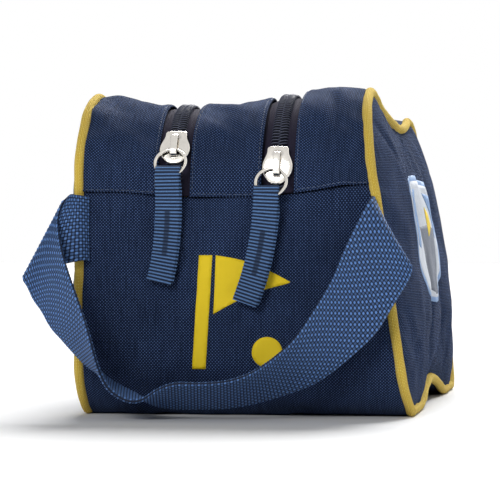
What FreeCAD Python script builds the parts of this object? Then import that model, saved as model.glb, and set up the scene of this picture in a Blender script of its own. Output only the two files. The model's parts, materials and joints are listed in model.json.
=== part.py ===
"""Golf shoe bag: a padded fabric bag with two zipped shoe compartments side by side.

Millimetres, +Z up.  The bag stands on the front and back feet of its lower gusset.  The end with
the carrying handle faces -Y, and the printed side panel faces +X and leans in towards the top.
Every shape is made in the bag's own frame, with X and Y zero at the middle of the fabric body,
and is moved by ORIGIN_SHIFT when it is saved, so that the object's box is centred on the origin.
"""
import FreeCAD
import Part
import math
import os

V = FreeCAD.Vector

# ---- driving dimensions ------------------------------------------------------------------
ORIGIN_SHIFT = V(6.0, 25.6, 0)     # from the body's middle to the middle of the whole object

HALF_LENGTH = 173.0                # body, middle to the outer face of an end
LEFT_FACE = -95.5                  # X of the plain side's outer face
RIGHT_FACE = 101.0                 # X of the printed side's outer face, at the floor
LEAN = math.radians(8.25)          # lean of the printed side
BAG_REACH = 400.0                  # longer than any side of the bag

SHOULDER_R = 60.0                  # round top corners of the side outline
SHOULDER_Z = 130.0                 # height of their centres, where the zip gusset starts
FOOT_R = 35.0                      # round bottom corners
WAIST_Z = 177.0                    # top edge at the middle of the length
FOOT_Y = 115.0                     # inner end of a flat foot
ARCH_RISE = 14.0                   # bottom edge above the floor at the middle

FABRIC = 1.6                       # padded fabric: face, foam and lining
PIPING_R = 2.6
SEAM_GAP = 0.05                    # between neighbouring sewn pieces
PANEL_CROWN = 9.0                  # how far a stuffed side panel bulges
BINDING_WIDTH = 9.0
BINDING = 1.2

ZIP_CENTRES = {"left": -38.5, "right": 22.5}
ZIP_SINK = {"left": 6.0, "right": 0.0}   # how far the top sags at each zip
ZIP_GAP = 22.0                     # between the fabric edges beside a zip
TAPE_INNER = 1.5                   # zip centre to a tape's edge
TAPE_OUTER = 18.0
TAPE = 0.8
TEETH_INNER = 1.3
TEETH_OUTER = 4.6
TEETH = 2.2                        # height of a coil row on its tape
TEETH_PROUD = 0.6                  # above the fabric's outer face
STOP_ANGLES = (0.4, 2.1)           # end stops, degrees up the shoulder from the seam

SLIDER_LENGTH = 21.5
SLIDER_WIDTH = 18.0
SLIDER_NOSE = 12.5                 # width of the narrow end
SLIDER_PLATE = 1.8
SLIDER_GAP = 0.35                  # slider to zip, on every side
SLIDER_POST = 2.0
SLIDER_REST = {"left": 29.0, "right": 15.5}   # degrees up the shoulder from the seam
BAIL_WIDTH = 4.0
BAIL_HEIGHT = 4.2
BAIL_THICKNESS = 1.1
BAIL_SPAN = 6.5                    # half length, in degrees of shoulder
RING_OFFSET = -3.3                 # ring's wire from the slider's middle, degrees

RING_R = 9.0                       # centre line of the pull ring
RING_WIRE = 1.0
RING_LEAN = {"left": 32.0, "right": 28.0}     # ring from the vertical, leaning on the slider
RING_TURN = {"left": 7.0, "right": 17.0}      # ring turned sideways in its own plane
TAB_TURN = {"left": 2.5, "right": 8.5}        # pull from the vertical, towards -X

PULL_WIDTH = 15.0
PULL_LENGTH = 68.0
PULL_WEB = 1.2
PULL_EYE = 2.8                     # inside radius of the fold round the ring
PULL_NECK = 7.0                    # width where the webbing bunches in the ring
PULL_NECK_LENGTH = 9.0

STRAP_WIDTH = 38.0
STRAP = 2.0
STRAP_MIDDLE = -6.0                # X of the handle's middle
STRAP_TOP_Z = 129.0                # upper edge of the sewn ends

DIVIDER = 2.0
DIVIDER_X = -8.0
PRINT = 0.3                        # thickness of the printed marks
PENNANT = (-39.0, 31.0, 28.0, 94.0)  # end print: X low, X high, Z low, Z high
SHIELD_CENTRE = (-15.0, 102.0)     # side print: Y and height
SHIELD_WIDTH = 150.0
SHIELD_HEIGHT = 76.0

# ---- the side outline --------------------------------------------------------------------
FOOT_CORNER_Y = HALF_LENGTH - FOOT_R
SHOULDER_ABOVE = WAIST_Z - SHOULDER_Z
ARCH_R = (FOOT_Y ** 2 + ARCH_RISE ** 2) / (4 * ARCH_RISE)


def arc(centre, radius, from_degrees, to_degrees):
    """Arc in the YZ plane; degrees from +Y towards +Z."""
    def at(degrees):
        a = math.radians(degrees)
        return V(0, centre[0] + radius * math.cos(a), centre[1] + radius * math.sin(a))
    return Part.Arc(at(from_degrees), at((from_degrees + to_degrees) / 2), at(to_degrees)).toShape()


def shoulder_y(sink=0.0):
    """Distance of a shoulder's centre from the middle of the length."""
    return HALF_LENGTH - SHOULDER_R + sink


def outline(inset=0.0, stretch=1.0, sink=0.0):
    """Closed waisted side outline in the YZ plane, `inset` inside the fabric's outer face.

    `stretch` moves the top corners up, for the leaning side, which is longer up its slope.
    `sink` lowers the whole top, with tighter shoulders, for a zip that sags.
    """
    top = SHOULDER_Z * stretch
    radius = SHOULDER_R - sink
    corner_y = shoulder_y(sink)
    above = SHOULDER_ABOVE - sink
    waist_r = (corner_y ** 2 + above ** 2 - radius ** 2) / (2 * (radius - above))
    waist_centre = top + above + waist_r
    waist_turn = math.degrees(math.atan2(corner_y, waist_centre - top))
    arch_turn = math.degrees(math.asin(FOOT_Y / 2 / ARCH_R))
    edges = [
        arc((corner_y, top), radius - inset, 0, 90 + waist_turn),
        arc((0, waist_centre), waist_r + inset, 270 + waist_turn, 270 - waist_turn),
        arc((-corner_y, top), radius - inset, 90 - waist_turn, 180),
        Part.makeLine(V(0, -HALF_LENGTH + inset, top), V(0, -HALF_LENGTH + inset, FOOT_R)),
        arc((-FOOT_CORNER_Y, FOOT_R), FOOT_R - inset, 180, 270),
        Part.makeLine(V(0, -FOOT_CORNER_Y, inset), V(0, -FOOT_Y, inset)),
        arc((-FOOT_Y, ARCH_R), ARCH_R - inset, 270, 270 + arch_turn),
        arc((0, ARCH_RISE - ARCH_R), ARCH_R + inset, 90 + arch_turn, 90 - arch_turn),
        arc((FOOT_Y, ARCH_R), ARCH_R - inset, 270 - arch_turn, 270),
        Part.makeLine(V(0, FOOT_Y, inset), V(0, FOOT_CORNER_Y, inset)),
        arc((FOOT_CORNER_Y, FOOT_R), FOOT_R - inset, -90, 0),
        Part.makeLine(V(0, HALF_LENGTH - inset, FOOT_R), V(0, HALF_LENGTH - inset, top)),
    ]
    return Part.Wire(edges)


def prism(inset, x_low, x_high, sink=0.0):
    """Solid with the side outline, from x_low to x_high."""
    solid = Part.Face(outline(inset, sink=sink)).extrude(V(x_high - x_low, 0, 0))
    solid.translate(V(x_low, 0, 0))
    return solid


def band(inset_outer, inset_inner, x_low, x_high, sink=0.0):
    """Closed loop of sheet between two insets of the outline."""
    outer = prism(inset_outer, x_low, x_high, sink)
    return outer.cut(prism(inset_inner, x_low - 1, x_high + 1, sink))


def box(low, high):
    """Box between two corners."""
    size = V(*high) - V(*low)
    return Part.makeBox(size.x, size.y, size.z, V(*low))


def above_seam(shape):
    """The part of a band that lies above the seam between lower gusset and zip gusset."""
    r = BAG_REACH
    return shape.common(box((-r, -r, SHOULDER_Z + SEAM_GAP), (r, r, r)))


def below_seam(shape):
    """The part of a band that lies below that seam."""
    r = BAG_REACH
    return shape.common(box((-r, -r, -r), (r, r, SHOULDER_Z - SEAM_GAP)))


def inside_right(shape, depth):
    """Cut a shape back to `depth` inside the leaning side's outer face."""
    r = BAG_REACH
    keep = box((-2 * r, -r, -r), (-depth, r, r))
    keep.rotate(V(0, 0, 0), V(0, 1, 0), -math.degrees(LEAN))
    keep.translate(V(RIGHT_FACE, 0, 0))
    return shape.common(keep)


def to_side(shape, side):
    """Place a shape made against X=0, with +X outwards, on the left or right side."""
    placed = shape.copy()
    if side == "left":
        placed = placed.mirror(V(0, 0, 0), V(1, 0, 0))
        placed.translate(V(LEFT_FACE, 0, 0))
    else:
        placed.rotate(V(0, 0, 0), V(0, 1, 0), -math.degrees(LEAN))
        placed.translate(V(RIGHT_FACE, 0, PIPING_R * (1 + math.sin(LEAN) - math.cos(LEAN))))
    return placed


def side_stretch(side):
    """How much longer the side outline is up its slope."""
    return 1.0 if side == "left" else 1 / math.cos(LEAN)


# ---- fabric shell ------------------------------------------------------------------------
def side_panel(side):
    """Crowned side panel inside its piping loop."""
    stretch = side_stretch(side)
    rim = 2 * PIPING_R + SEAM_GAP
    edge = -PIPING_R

    def dome(offset):
        """Stuffed form, `offset` inside the panel's outer face."""
        layers = [(offset, -rim - offset), (offset, edge - offset / 2), (8 + offset, 3.5 - offset),
                  (17 + offset, 7.0 - offset), (26 + offset, PANEL_CROWN - offset)]
        wires = []
        for inset, x in layers:
            wire = outline(rim + inset, stretch)
            wire.translate(V(x, 0, 0))
            wires.append(wire)
        return Part.makeLoft(wires, True, True)
    return to_side(dome(0).cut(dome(FABRIC)), side)


def piping(side):
    """Round piping sewn into the seam all round a side panel."""
    path = outline(PIPING_R, side_stretch(side))
    start = path.Edges[3].Vertexes[0].Point
    ring = Part.Wire(Part.makeCircle(PIPING_R, start, V(0, 0, 1)))
    tube = path.makePipeShell([ring], True, True)
    tube.translate(V(-PIPING_R, 0, 0))
    return to_side(tube, side)


def seam_binding(side):
    """Tape that covers the raw seam edges inside the bag."""
    inset = FABRIC + SEAM_GAP
    if side == "left":
        return band(inset, inset + BINDING, GUSSET_LEFT, GUSSET_LEFT + BINDING_WIDTH)
    tape = inside_right(band(inset, inset + BINDING, 0, BAG_REACH), GUSSET_DEPTH)
    return tape.cut(inside_right(tape, GUSSET_DEPTH + BINDING_WIDTH))


GUSSET_LEFT = LEFT_FACE + 2 * PIPING_R + SEAM_GAP
GUSSET_DEPTH = 2 * PIPING_R + SEAM_GAP


def lower_gusset():
    """One strip: handle end, floor and far end, up to the two seams."""
    return inside_right(below_seam(band(0, FABRIC, GUSSET_LEFT, BAG_REACH)), GUSSET_DEPTH)


def zip_gusset(x_low, x_high):
    """One strip of the top, between a side seam or zip and the next."""
    return inside_right(above_seam(band(0, FABRIC, x_low, x_high)), GUSSET_DEPTH)


def divider():
    """Padded wall between the two compartments."""
    return prism(FABRIC + TAPE + 0.6, DIVIDER_X - DIVIDER / 2, DIVIDER_X + DIVIDER / 2)


# ---- zips --------------------------------------------------------------------------------
def zip_tape(zip_name, hand):
    """Woven tape under the fabric edge; hand is -1 for its left tape and 1 for its right."""
    centre = ZIP_CENTRES[zip_name]
    ends = sorted((centre + hand * TAPE_INNER, centre + hand * TAPE_OUTER))
    inset = FABRIC + SEAM_GAP
    return above_seam(band(inset, inset + TAPE, ends[0], ends[1], ZIP_SINK[zip_name]))


def zip_teeth(zip_name, hand):
    """Coil row that stands on the tape's edge."""
    centre = ZIP_CENTRES[zip_name]
    ends = sorted((centre + hand * TEETH_INNER, centre + hand * TEETH_OUTER))
    return above_seam(band(FABRIC - TEETH, FABRIC, ends[0], ends[1], ZIP_SINK[zip_name]))


def on_shoulder(zip_name, height, degrees):
    """Point in the YZ plane, `height` above the fabric at a zip, round its front shoulder."""
    sink = ZIP_SINK[zip_name]
    radius = SHOULDER_R - sink + height
    a = math.radians(degrees)
    return V(0, -shoulder_y(sink) - radius * math.cos(a), SHOULDER_Z + radius * math.sin(a))


def shoulder_sector(zip_name, low, high, from_degrees, to_degrees, x_half):
    """Block over a zip, between two heights and two turns up its front shoulder."""
    middle = (from_degrees + to_degrees) / 2

    def bow(height, first, last):
        points = [on_shoulder(zip_name, height, d) for d in (first, middle, last)]
        return Part.Arc(*points).toShape()
    wire = Part.Wire([
        bow(high, from_degrees, to_degrees),
        Part.makeLine(on_shoulder(zip_name, high, to_degrees), on_shoulder(zip_name, low, to_degrees)),
        bow(low, to_degrees, from_degrees),
        Part.makeLine(on_shoulder(zip_name, low, from_degrees), on_shoulder(zip_name, high, from_degrees)),
    ])
    block = Part.Face(wire).extrude(V(2 * x_half, 0, 0))
    block.translate(V(ZIP_CENTRES[zip_name] - x_half, 0, 0))
    return block


def zip_stops(zip_name):
    """Moulded stops that join both coil rows, one at each end of the zip."""
    foot = TEETH_PROUD + SEAM_GAP
    front = shoulder_sector(zip_name, foot, foot + 1.0, STOP_ANGLES[0], STOP_ANGLES[1], TEETH_OUTER)
    return Part.makeCompound([front, front.mirror(V(0, 0, 0), V(0, 1, 0))])


PLATE_LOW = TEETH_PROUD + SLIDER_GAP
PLATE_HIGH = PLATE_LOW + SLIDER_PLATE
UNDER_HIGH = -FABRIC - SEAM_GAP - TAPE - SLIDER_GAP
UNDER_LOW = UNDER_HIGH - 1.4
BAIL_TOP = PLATE_HIGH + BAIL_HEIGHT
WIRE_HEIGHT = BAIL_TOP - BAIL_THICKNESS - RING_WIRE - 0.4


def slider_outline(centre, depth):
    """Block with the slider's shape seen from the front: narrow nose, shoulders, round front."""
    nose = SLIDER_NOSE / 2
    wide = SLIDER_WIDTH / 2
    half = SLIDER_LENGTH / 2
    waist = 3.0

    def at(x, z):
        return V(centre + x, 0, z)
    wire = Part.Wire([
        Part.makeLine(at(-nose, half), at(nose, half)),
        Part.Arc(at(nose, half), at(nose - 0.3, waist), at(wide, -waist)).toShape(),
        Part.Arc(at(wide, -waist), at(0, -half), at(-wide, -waist)).toShape(),
        Part.Arc(at(-wide, -waist), at(0.3 - nose, waist), at(-nose, half)).toShape(),
    ])
    return Part.Face(wire).extrude(V(0, depth, 0))


def slider(zip_name):
    """Cast slider: curved plates over and under the zip, a post between the rows, and a bail."""
    rest = SLIDER_REST[zip_name]
    sink = ZIP_SINK[zip_name]
    half_turn = math.degrees(SLIDER_LENGTH / 2 / (SHOULDER_R - sink))

    def sector(low, high, first, last, x_half):
        return shoulder_sector(zip_name, low, high, rest + first, rest + last, x_half)
    plates = sector(PLATE_LOW, PLATE_HIGH, -half_turn, half_turn, SLIDER_WIDTH / 2)
    plates = plates.fuse(sector(UNDER_LOW, UNDER_HIGH, -half_turn, half_turn, SLIDER_WIDTH / 2))
    stencil = slider_outline(ZIP_CENTRES[zip_name], SHOULDER_R)
    stencil.translate(V(0, -HALF_LENGTH - SHOULDER_R / 3, SHOULDER_Z))
    stencil.rotate(V(0, -shoulder_y(sink), SHOULDER_Z), V(1, 0, 0), -rest)
    plates = plates.common(stencil)
    post = sector(UNDER_HIGH - 0.2, PLATE_LOW + 0.2, -6, 2, SLIDER_POST / 2)
    bail = sector(PLATE_HIGH - 0.2, BAIL_TOP, -BAIL_SPAN, BAIL_SPAN, BAIL_WIDTH / 2)
    window = sector(PLATE_HIGH, BAIL_TOP - BAIL_THICKNESS, 1 - BAIL_SPAN, BAIL_SPAN - 1, BAIL_WIDTH)
    return plates.fuse([post, bail.cut(window)]).removeSplitter()


def bail_point(zip_name):
    """Centre of the ring's wire where it passes under the bail."""
    turn = SLIDER_REST[zip_name] + RING_OFFSET
    return on_shoulder(zip_name, WIRE_HEIGHT, turn) + V(ZIP_CENTRES[zip_name], 0, 0)


def ring_end(zip_name):
    """Centre of the ring's wire where the pull hangs on it."""
    lean = math.radians(RING_LEAN[zip_name])
    turn = math.radians(RING_TURN[zip_name])
    down = V(0, -math.sin(lean), -math.cos(lean)) * math.cos(turn) - V(math.sin(turn), 0, 0)
    return bail_point(zip_name) + down * (2 * RING_R)


def ring(zip_name):
    """Round wire ring through the bail."""
    top = bail_point(zip_name)
    middle = (top + ring_end(zip_name)) * 0.5
    lean = math.radians(RING_LEAN[zip_name])
    return Part.makeTorus(RING_R, RING_WIRE, middle, V(0, -math.cos(lean), math.sin(lean)))


NECK_WASTE = (PULL_WIDTH - PULL_NECK) / 2


def pull(zip_name):
    """Ribbed webbing folded over the ring and sewn to itself; it hangs down, a little askew."""
    eye = ring_end(zip_name)
    x_low = eye.x - PULL_WIDTH / 2
    outer = PULL_EYE + PULL_WEB

    def tongue(radius, length):
        top = Part.Arc(V(0, eye.y - radius, eye.z), V(0, eye.y, eye.z + radius),
                       V(0, eye.y + radius, eye.z)).toShape()
        sides = [V(0, eye.y + radius, eye.z), V(0, eye.y + radius, eye.z - length),
                 V(0, eye.y - radius, eye.z - length), V(0, eye.y - radius, eye.z)]
        wire = Part.Wire([top] + [Part.makeLine(a, b) for a, b in zip(sides, sides[1:])])
        block = Part.Face(wire).extrude(V(PULL_WIDTH, 0, 0))
        block.translate(V(x_low, 0, 0))
        return block
    web = tongue(outer, PULL_LENGTH).cut(tongue(PULL_EYE, PULL_NECK_LENGTH))
    neck_low = eye.z - PULL_NECK_LENGTH
    notches = [
        box((x - 1, eye.y - 2 * outer, neck_low), (x + waste + 1, eye.y + 2 * outer, eye.z + 2 * outer))
        for x, waste in ((x_low, NECK_WASTE - 1), (x_low + PULL_WIDTH - NECK_WASTE + 1, NECK_WASTE))]
    behind = box((x_low - 1, eye.y + 1.0, eye.z - PULL_LENGTH - 1),
                 (x_low + PULL_WIDTH + 1, eye.y + 2 * outer, neck_low))
    web = web.cut(notches[0]).cut(notches[1]).cut(behind)
    web.rotate(eye, V(0, 1, 0), TAB_TURN[zip_name])
    return web


# ---- handle ------------------------------------------------------------------------------
def loop_stations():
    """Upper and lower edge of the hanging webbing, from its middle to the top of one leg."""
    return [
        (V(0, -223, 22), V(0, -189, 6)),
        (V(26, -222, 24), V(27, -190, 9)),
        (V(50, -217, 34), V(58, -194, 17)),
        (V(68, -208, 58), V(86, -197, 36)),
        (V(80, -199, 86), V(101, -195, 60)),
        (V(87, -193, 103), V(107, -193, 71)),
    ]


def end_stations():
    """Upper and lower edge of a sewn end, from the leg, over the slanting fold, to the seam."""
    return [
        (V(87.4, -192.4, 104.2), V(107.4, -192.5, 72.2)),
        (V(92, -187, 118), V(111, -189, 79)),
        (V(94, -180, 126), V(112, -182, 85)),
        (V(92, -175.6, STRAP_TOP_Z), V(103, -177, 89)),
        (V(85.5, -174.8, STRAP_TOP_Z), V(85.5, -174.8, STRAP_TOP_Z - STRAP_WIDTH)),
    ]


def mirrored(stations):
    """The same stations on the other side of the handle's middle, in reverse order."""
    return [(V(-t.x, t.y, t.z), V(-b.x, b.y, b.z)) for t, b in reversed(stations)]


def webbing(stations):
    """Webbing through a row of stations."""
    sections = []
    for index, (top, bottom) in enumerate(stations):
        before = stations[max(index - 1, 0)]
        after = stations[min(index + 1, len(stations) - 1)]
        along = (after[0] + after[1]) - (before[0] + before[1])
        normal = (bottom - top).cross(along)
        normal.normalize()
        lift = normal * (STRAP / 2)
        sections.append((top + lift, top - lift, bottom - lift, bottom + lift))
    solid = facet_solid(sections)
    solid.translate(V(STRAP_MIDDLE, 0, 0))
    return solid


def facet_solid(sections):
    """Closed solid of flat facets through a row of four-cornered cross sections."""
    def triangle(a, b, c):
        return Part.Face(Part.makePolygon([a, b, c, a]))
    first = sections[0]
    last = sections[-1]
    facets = [triangle(first[0], first[1], first[2]), triangle(first[0], first[2], first[3]),
              triangle(last[0], last[2], last[1]), triangle(last[0], last[3], last[2])]
    for near, far in zip(sections, sections[1:]):
        for i in range(4):
            j = (i + 1) % 4
            facets.append(triangle(near[i], far[j], near[j]))
            facets.append(triangle(near[i], far[i], far[j]))
    shell = Part.makeShell(facets)
    shell.sewShape()
    solid = Part.makeSolid(shell)
    if solid.Volume < 0:
        solid.reverse()
    return solid


# ---- prints ------------------------------------------------------------------------------
def end_print():
    """Thin print on the handle end: a golf pennant on its pole."""
    x_low, x_high, z_low, z_high = PENNANT
    y = -HALF_LENGTH - SEAM_GAP

    def plate(points):
        wire = Part.makePolygon([V(x, y, z) for x, z in points + points[:1]])
        return Part.Face(wire).extrude(V(0, -PRINT, 0))
    pole = plate([(x_low + 12, z_low), (x_low + 20, z_low), (x_low + 24, z_high), (x_low + 16, z_high)])
    flag = plate([(x_low + 26, z_high), (x_high, z_high - 16), (x_low + 24, z_high - 34)])
    ball = Part.makeCylinder(9, PRINT, V(x_high - 14, y - PRINT, z_low + 10), V(0, 1, 0))
    return Part.makeCompound([pole, flag, ball])


def side_print():
    """Thin shield-shaped print on the flat middle of the leaning side panel."""
    y, z = SHIELD_CENTRE
    half = SHIELD_WIDTH / 2
    top = z + SHIELD_HEIGHT / 2
    shoulder = z - SHIELD_HEIGHT / 10
    tip = z - SHIELD_HEIGHT / 2
    x = PANEL_CROWN + SEAM_GAP
    left_top, right_top = V(x, y - half, top), V(x, y + half, top)
    left_low, right_low = V(x, y - half, shoulder), V(x, y + half, shoulder)
    point = V(x, y, tip)
    wire = Part.Wire([
        Part.Arc(left_top, V(x, y, top + 4), right_top).toShape(),
        Part.makeLine(right_top, right_low),
        Part.Arc(right_low, V(x, y + half * 0.62, tip + (shoulder - tip) * 0.36), point).toShape(),
        Part.Arc(point, V(x, y - half * 0.62, tip + (shoulder - tip) * 0.36), left_low).toShape(),
        Part.makeLine(left_low, left_top),
    ])
    return to_side(Part.Face(wire).extrude(V(PRINT, 0, 0)), "right")


def save(name, shape):
    """Write one piece, moved to the object's own frame."""
    moved = shape.copy()
    moved.translate(ORIGIN_SHIFT)
    moved.exportStep(os.path.join("parts", name + ".step"))


def pieces():
    """Every piece by its name, in the order it would be sewn."""
    made = {"lower_gusset": lower_gusset(), "compartment_divider": divider()}
    for side in ("left", "right"):
        made["side_panel_" + side] = side_panel(side)
        made["piping_" + side] = piping(side)
        made["seam_binding_" + side] = seam_binding(side)
    half_gap = ZIP_GAP / 2
    left = ZIP_CENTRES["left"]
    right = ZIP_CENTRES["right"]
    made["zip_gusset_left"] = zip_gusset(GUSSET_LEFT, left - half_gap)
    made["zip_gusset_centre"] = zip_gusset(left + half_gap, right - half_gap)
    made["zip_gusset_right"] = zip_gusset(right + half_gap, BAG_REACH)
    for zip_name in ZIP_CENTRES:
        for hand, label in ((-1, "left"), (1, "right")):
            made["zip_%s_tape_%s" % (zip_name, label)] = zip_tape(zip_name, hand)
            made["zip_%s_coil_%s" % (zip_name, label)] = zip_teeth(zip_name, hand)
        made["zip_%s_stops" % zip_name] = zip_stops(zip_name)
        made["slider_" + zip_name] = slider(zip_name)
        made["pull_ring_" + zip_name] = ring(zip_name)
        made["pull_tab_" + zip_name] = pull(zip_name)
    made["handle_loop"] = webbing(mirrored(loop_stations()) + loop_stations()[1:])
    made["handle_end_right"] = webbing(end_stations())
    made["handle_end_left"] = webbing(mirrored(end_stations()))
    made["end_print"] = end_print()
    made["side_print"] = side_print()
    return made


os.makedirs("parts", exist_ok=True)
for piece_name, piece_shape in pieces().items():
    save(piece_name, piece_shape)
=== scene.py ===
"""Golf shoe bag: padded navy fabric, yellow piping, two zips, ribbed pulls and a webbing handle.

Every length below is in millimetres in the model's own frame and is turned into metres when a
mesh is made. The bag stands on Z = 0, the handle end faces -Y and the printed side leans to -X.
"""
import json
import math

import bpy
import numpy as np
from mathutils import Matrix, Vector
from mathutils.bvhtree import BVHTree
from mathutils.geometry import delaunay_2d_cdt


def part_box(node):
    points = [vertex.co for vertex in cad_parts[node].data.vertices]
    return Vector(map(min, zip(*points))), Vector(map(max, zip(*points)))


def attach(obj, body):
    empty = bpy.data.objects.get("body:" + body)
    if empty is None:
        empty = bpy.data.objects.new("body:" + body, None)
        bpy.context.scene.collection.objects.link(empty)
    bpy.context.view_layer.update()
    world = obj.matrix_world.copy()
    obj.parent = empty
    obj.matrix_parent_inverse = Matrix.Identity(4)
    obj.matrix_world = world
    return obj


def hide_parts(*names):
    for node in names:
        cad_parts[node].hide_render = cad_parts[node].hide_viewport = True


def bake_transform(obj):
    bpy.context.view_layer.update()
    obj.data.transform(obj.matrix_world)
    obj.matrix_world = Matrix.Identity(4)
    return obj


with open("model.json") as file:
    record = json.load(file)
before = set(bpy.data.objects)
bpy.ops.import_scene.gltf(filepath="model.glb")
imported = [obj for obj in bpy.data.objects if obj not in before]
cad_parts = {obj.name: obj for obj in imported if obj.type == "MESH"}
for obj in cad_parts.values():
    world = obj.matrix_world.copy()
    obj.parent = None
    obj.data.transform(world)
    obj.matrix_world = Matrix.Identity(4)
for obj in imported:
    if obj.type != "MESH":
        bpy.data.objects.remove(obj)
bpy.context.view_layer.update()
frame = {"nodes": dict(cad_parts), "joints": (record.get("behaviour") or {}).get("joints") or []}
MM = 0.001


def node_box(node):
    """Lowest and highest corner of a CAD node, in millimetres."""
    low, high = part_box(node)
    return np.array(low) / MM, np.array(high) / MM


# ---------------------------------------------------------------- the bag's main sizes
GUSSET_LOW, GUSSET_HIGH = node_box("lower_gusset")
MID_Y = (GUSSET_LOW[1] + GUSSET_HIGH[1]) / 2
HALF_LENGTH = (GUSSET_HIGH[1] - GUSSET_LOW[1]) / 2
SEAM_Z = 130.0                  # the seam at each end, where the top strips start
SHOULDER_R = 60.0
WAIST_RISE = 47.0               # the waist's height above the seam
FOOT_R = 35.0
FOOT_REST = 115.0               # half distance between the two arched ends of the bottom
ARCH_RISE = 14.0
LEAN = math.tan(math.radians(8.25))
PIPING_R = 2.9
LEFT_SEAM = sum(corner[0] for corner in node_box("piping_left")) / 2 - 2.0
RIGHT_SEAM = node_box("piping_right")[1][0] - PIPING_R
SIDE_TOP = 165.0                # height at which the side seams meet the top
SEAM_TUCK = 0.6                 # from a side seam's line to a panel's edge
CLOTH_STEP = 1.9                # between the mesh lines of a panel
ZIPS = {"left": {"x": -32.5, "sink": 6.0}, "right": {"x": 28.5, "sink": 0.0}}
ZIP_GAP = 18.8                  # between the folded edges of the strips
COIL_PITCH = 2.1
COIL_BAR = (0.5, 0.85)          # half width and half height of one bar
COIL_GIRTH = 4.2
STITCH_FROM_SEAM = 1.9
STITCH_FROM_FOLD = 1.4
THREAD_PITCH = 1.9              # one crown of the handle's weave
STRAP_THREADS = 20              # lengthwise threads across the handle
STRAP = 1.9                     # thickness of the handle's webbing
PULL_WIDTH = 14.4
PULL_WEB = 1.05
RIB_PITCH = 2.0                 # ribs across a pull
SLOT_MIDDLE = 41.0              # stitched slot down a pull, from the fold over the ring
SLOT_HALF_LENGTH = 13.5
CAMERA = {"place": (240.5, -1603.1, 97.0), "azimuth": 8.9, "lens": 183.6}

# how far the top dips under its round line, across the bag: (X, dip)
TOP_PROFILE = [(-90, 0), (-78, -1), (-50, 5), (-32.5, 6), (-20, 6.4), (18, 2.6), (28.5, -0.6),
               (38, -2.2), (46, -4.2), (56, -6.3), (68, -4.2), (80, -2.4), (90, -2.2)]
# how far the near end's seam strays from level, across the bag: (X, rise)
SEAM_WANDER = [(-90, 1.0), (-62, 0.6), (-28, -2.4), (24, -2.2), (48, 1.0), (66, 4.2), (90, 5.0)]


def right_seam(z):
    """X of the piping line on the leaning side, at a height."""
    return RIGHT_SEAM - LEAN * z


def seam_x(side, z, inwards=0.0):
    """X of either side's seam at each height, or of a line inwards of it."""
    return LEFT_SEAM + inwards + 0 * z if side == "left" else right_seam(z) - inwards


def side_slope(side):
    """Direction square to a side, which is plumb on the left and leans on the right."""
    return np.array([1.0, 0.0, 0.0 if side == "left" else LEAN])


def dip(x):
    """How far the top sinks below its round outline at each X."""
    knots = np.array(TOP_PROFILE, float)
    x = np.asarray(x, float)
    return sum(np.interp(x + shift, knots[:, 0], knots[:, 1]) for shift in (-4, -2, 0, 2, 4)) / 5


def wander(x, y, z):
    """Rise of the near end's seam out of level, fading quickly above and below it."""
    knots = np.array(SEAM_WANDER)
    return np.interp(x, knots[:, 0], knots[:, 1]) * np.exp(-((z - SEAM_Z) / 10) ** 2) * (y < 0)


def side_sink(side):
    """How far the top sinks along a side's piping."""
    return float(dip(seam_x(side, SIDE_TOP)))


def top_length(sink):
    """Sizes of the round top line sunk by sink; the last is its whole length."""
    radius, corner, above = SHOULDER_R - sink, HALF_LENGTH - SHOULDER_R + sink, WAIST_RISE - sink
    waist = (corner ** 2 + above ** 2 - radius ** 2) / (2 * (radius - above))
    turn = np.pi - np.arctan2(above + waist, corner)
    sweep = np.arctan2(corner, above + waist)
    return radius, corner, above, waist, turn, sweep, 2 * radius * turn + 2 * waist * sweep


def slump(y, z):
    """How far the unsupported far half of the top has settled, nothing at the seams."""
    t = np.clip((y - 20) / 150, 0, 1)
    share = np.clip((z - SEAM_Z) / 45, 0, 1)
    settled = 5.5 * t * t * (3 - 2 * t) + 3.5 * np.exp(-((y - 95) / 60) ** 2)
    return share * share * (3 - 2 * share) * settled


def top_path(sink, s):
    """Place and outward direction (y, z, ny, nz) on the top, s along it from the near seam."""
    radius, corner, above, waist, turn, sweep, total = top_length(sink)
    s = np.asarray(s, float)
    near, far = s / radius, (total - s) / radius
    middle = (s - radius * turn) / waist - sweep
    first, last = near < turn, far < turn
    y = np.where(first, -corner - radius * np.cos(near), waist * np.sin(middle))
    z = np.where(first, SEAM_Z + radius * np.sin(near),
                 SEAM_Z + above + waist - waist * np.cos(middle))
    ny = np.where(first, -np.cos(near), -np.sin(middle))
    nz = np.where(first, np.sin(near), np.cos(middle))
    y = np.where(last, corner + radius * np.cos(far), y)
    z = np.where(last, SEAM_Z + radius * np.sin(far), z)
    ny = np.where(last, np.cos(far), ny)
    nz = np.where(last, np.sin(far), nz)
    return MID_Y + y, z - slump(MID_Y + y, z), ny, nz


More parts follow.
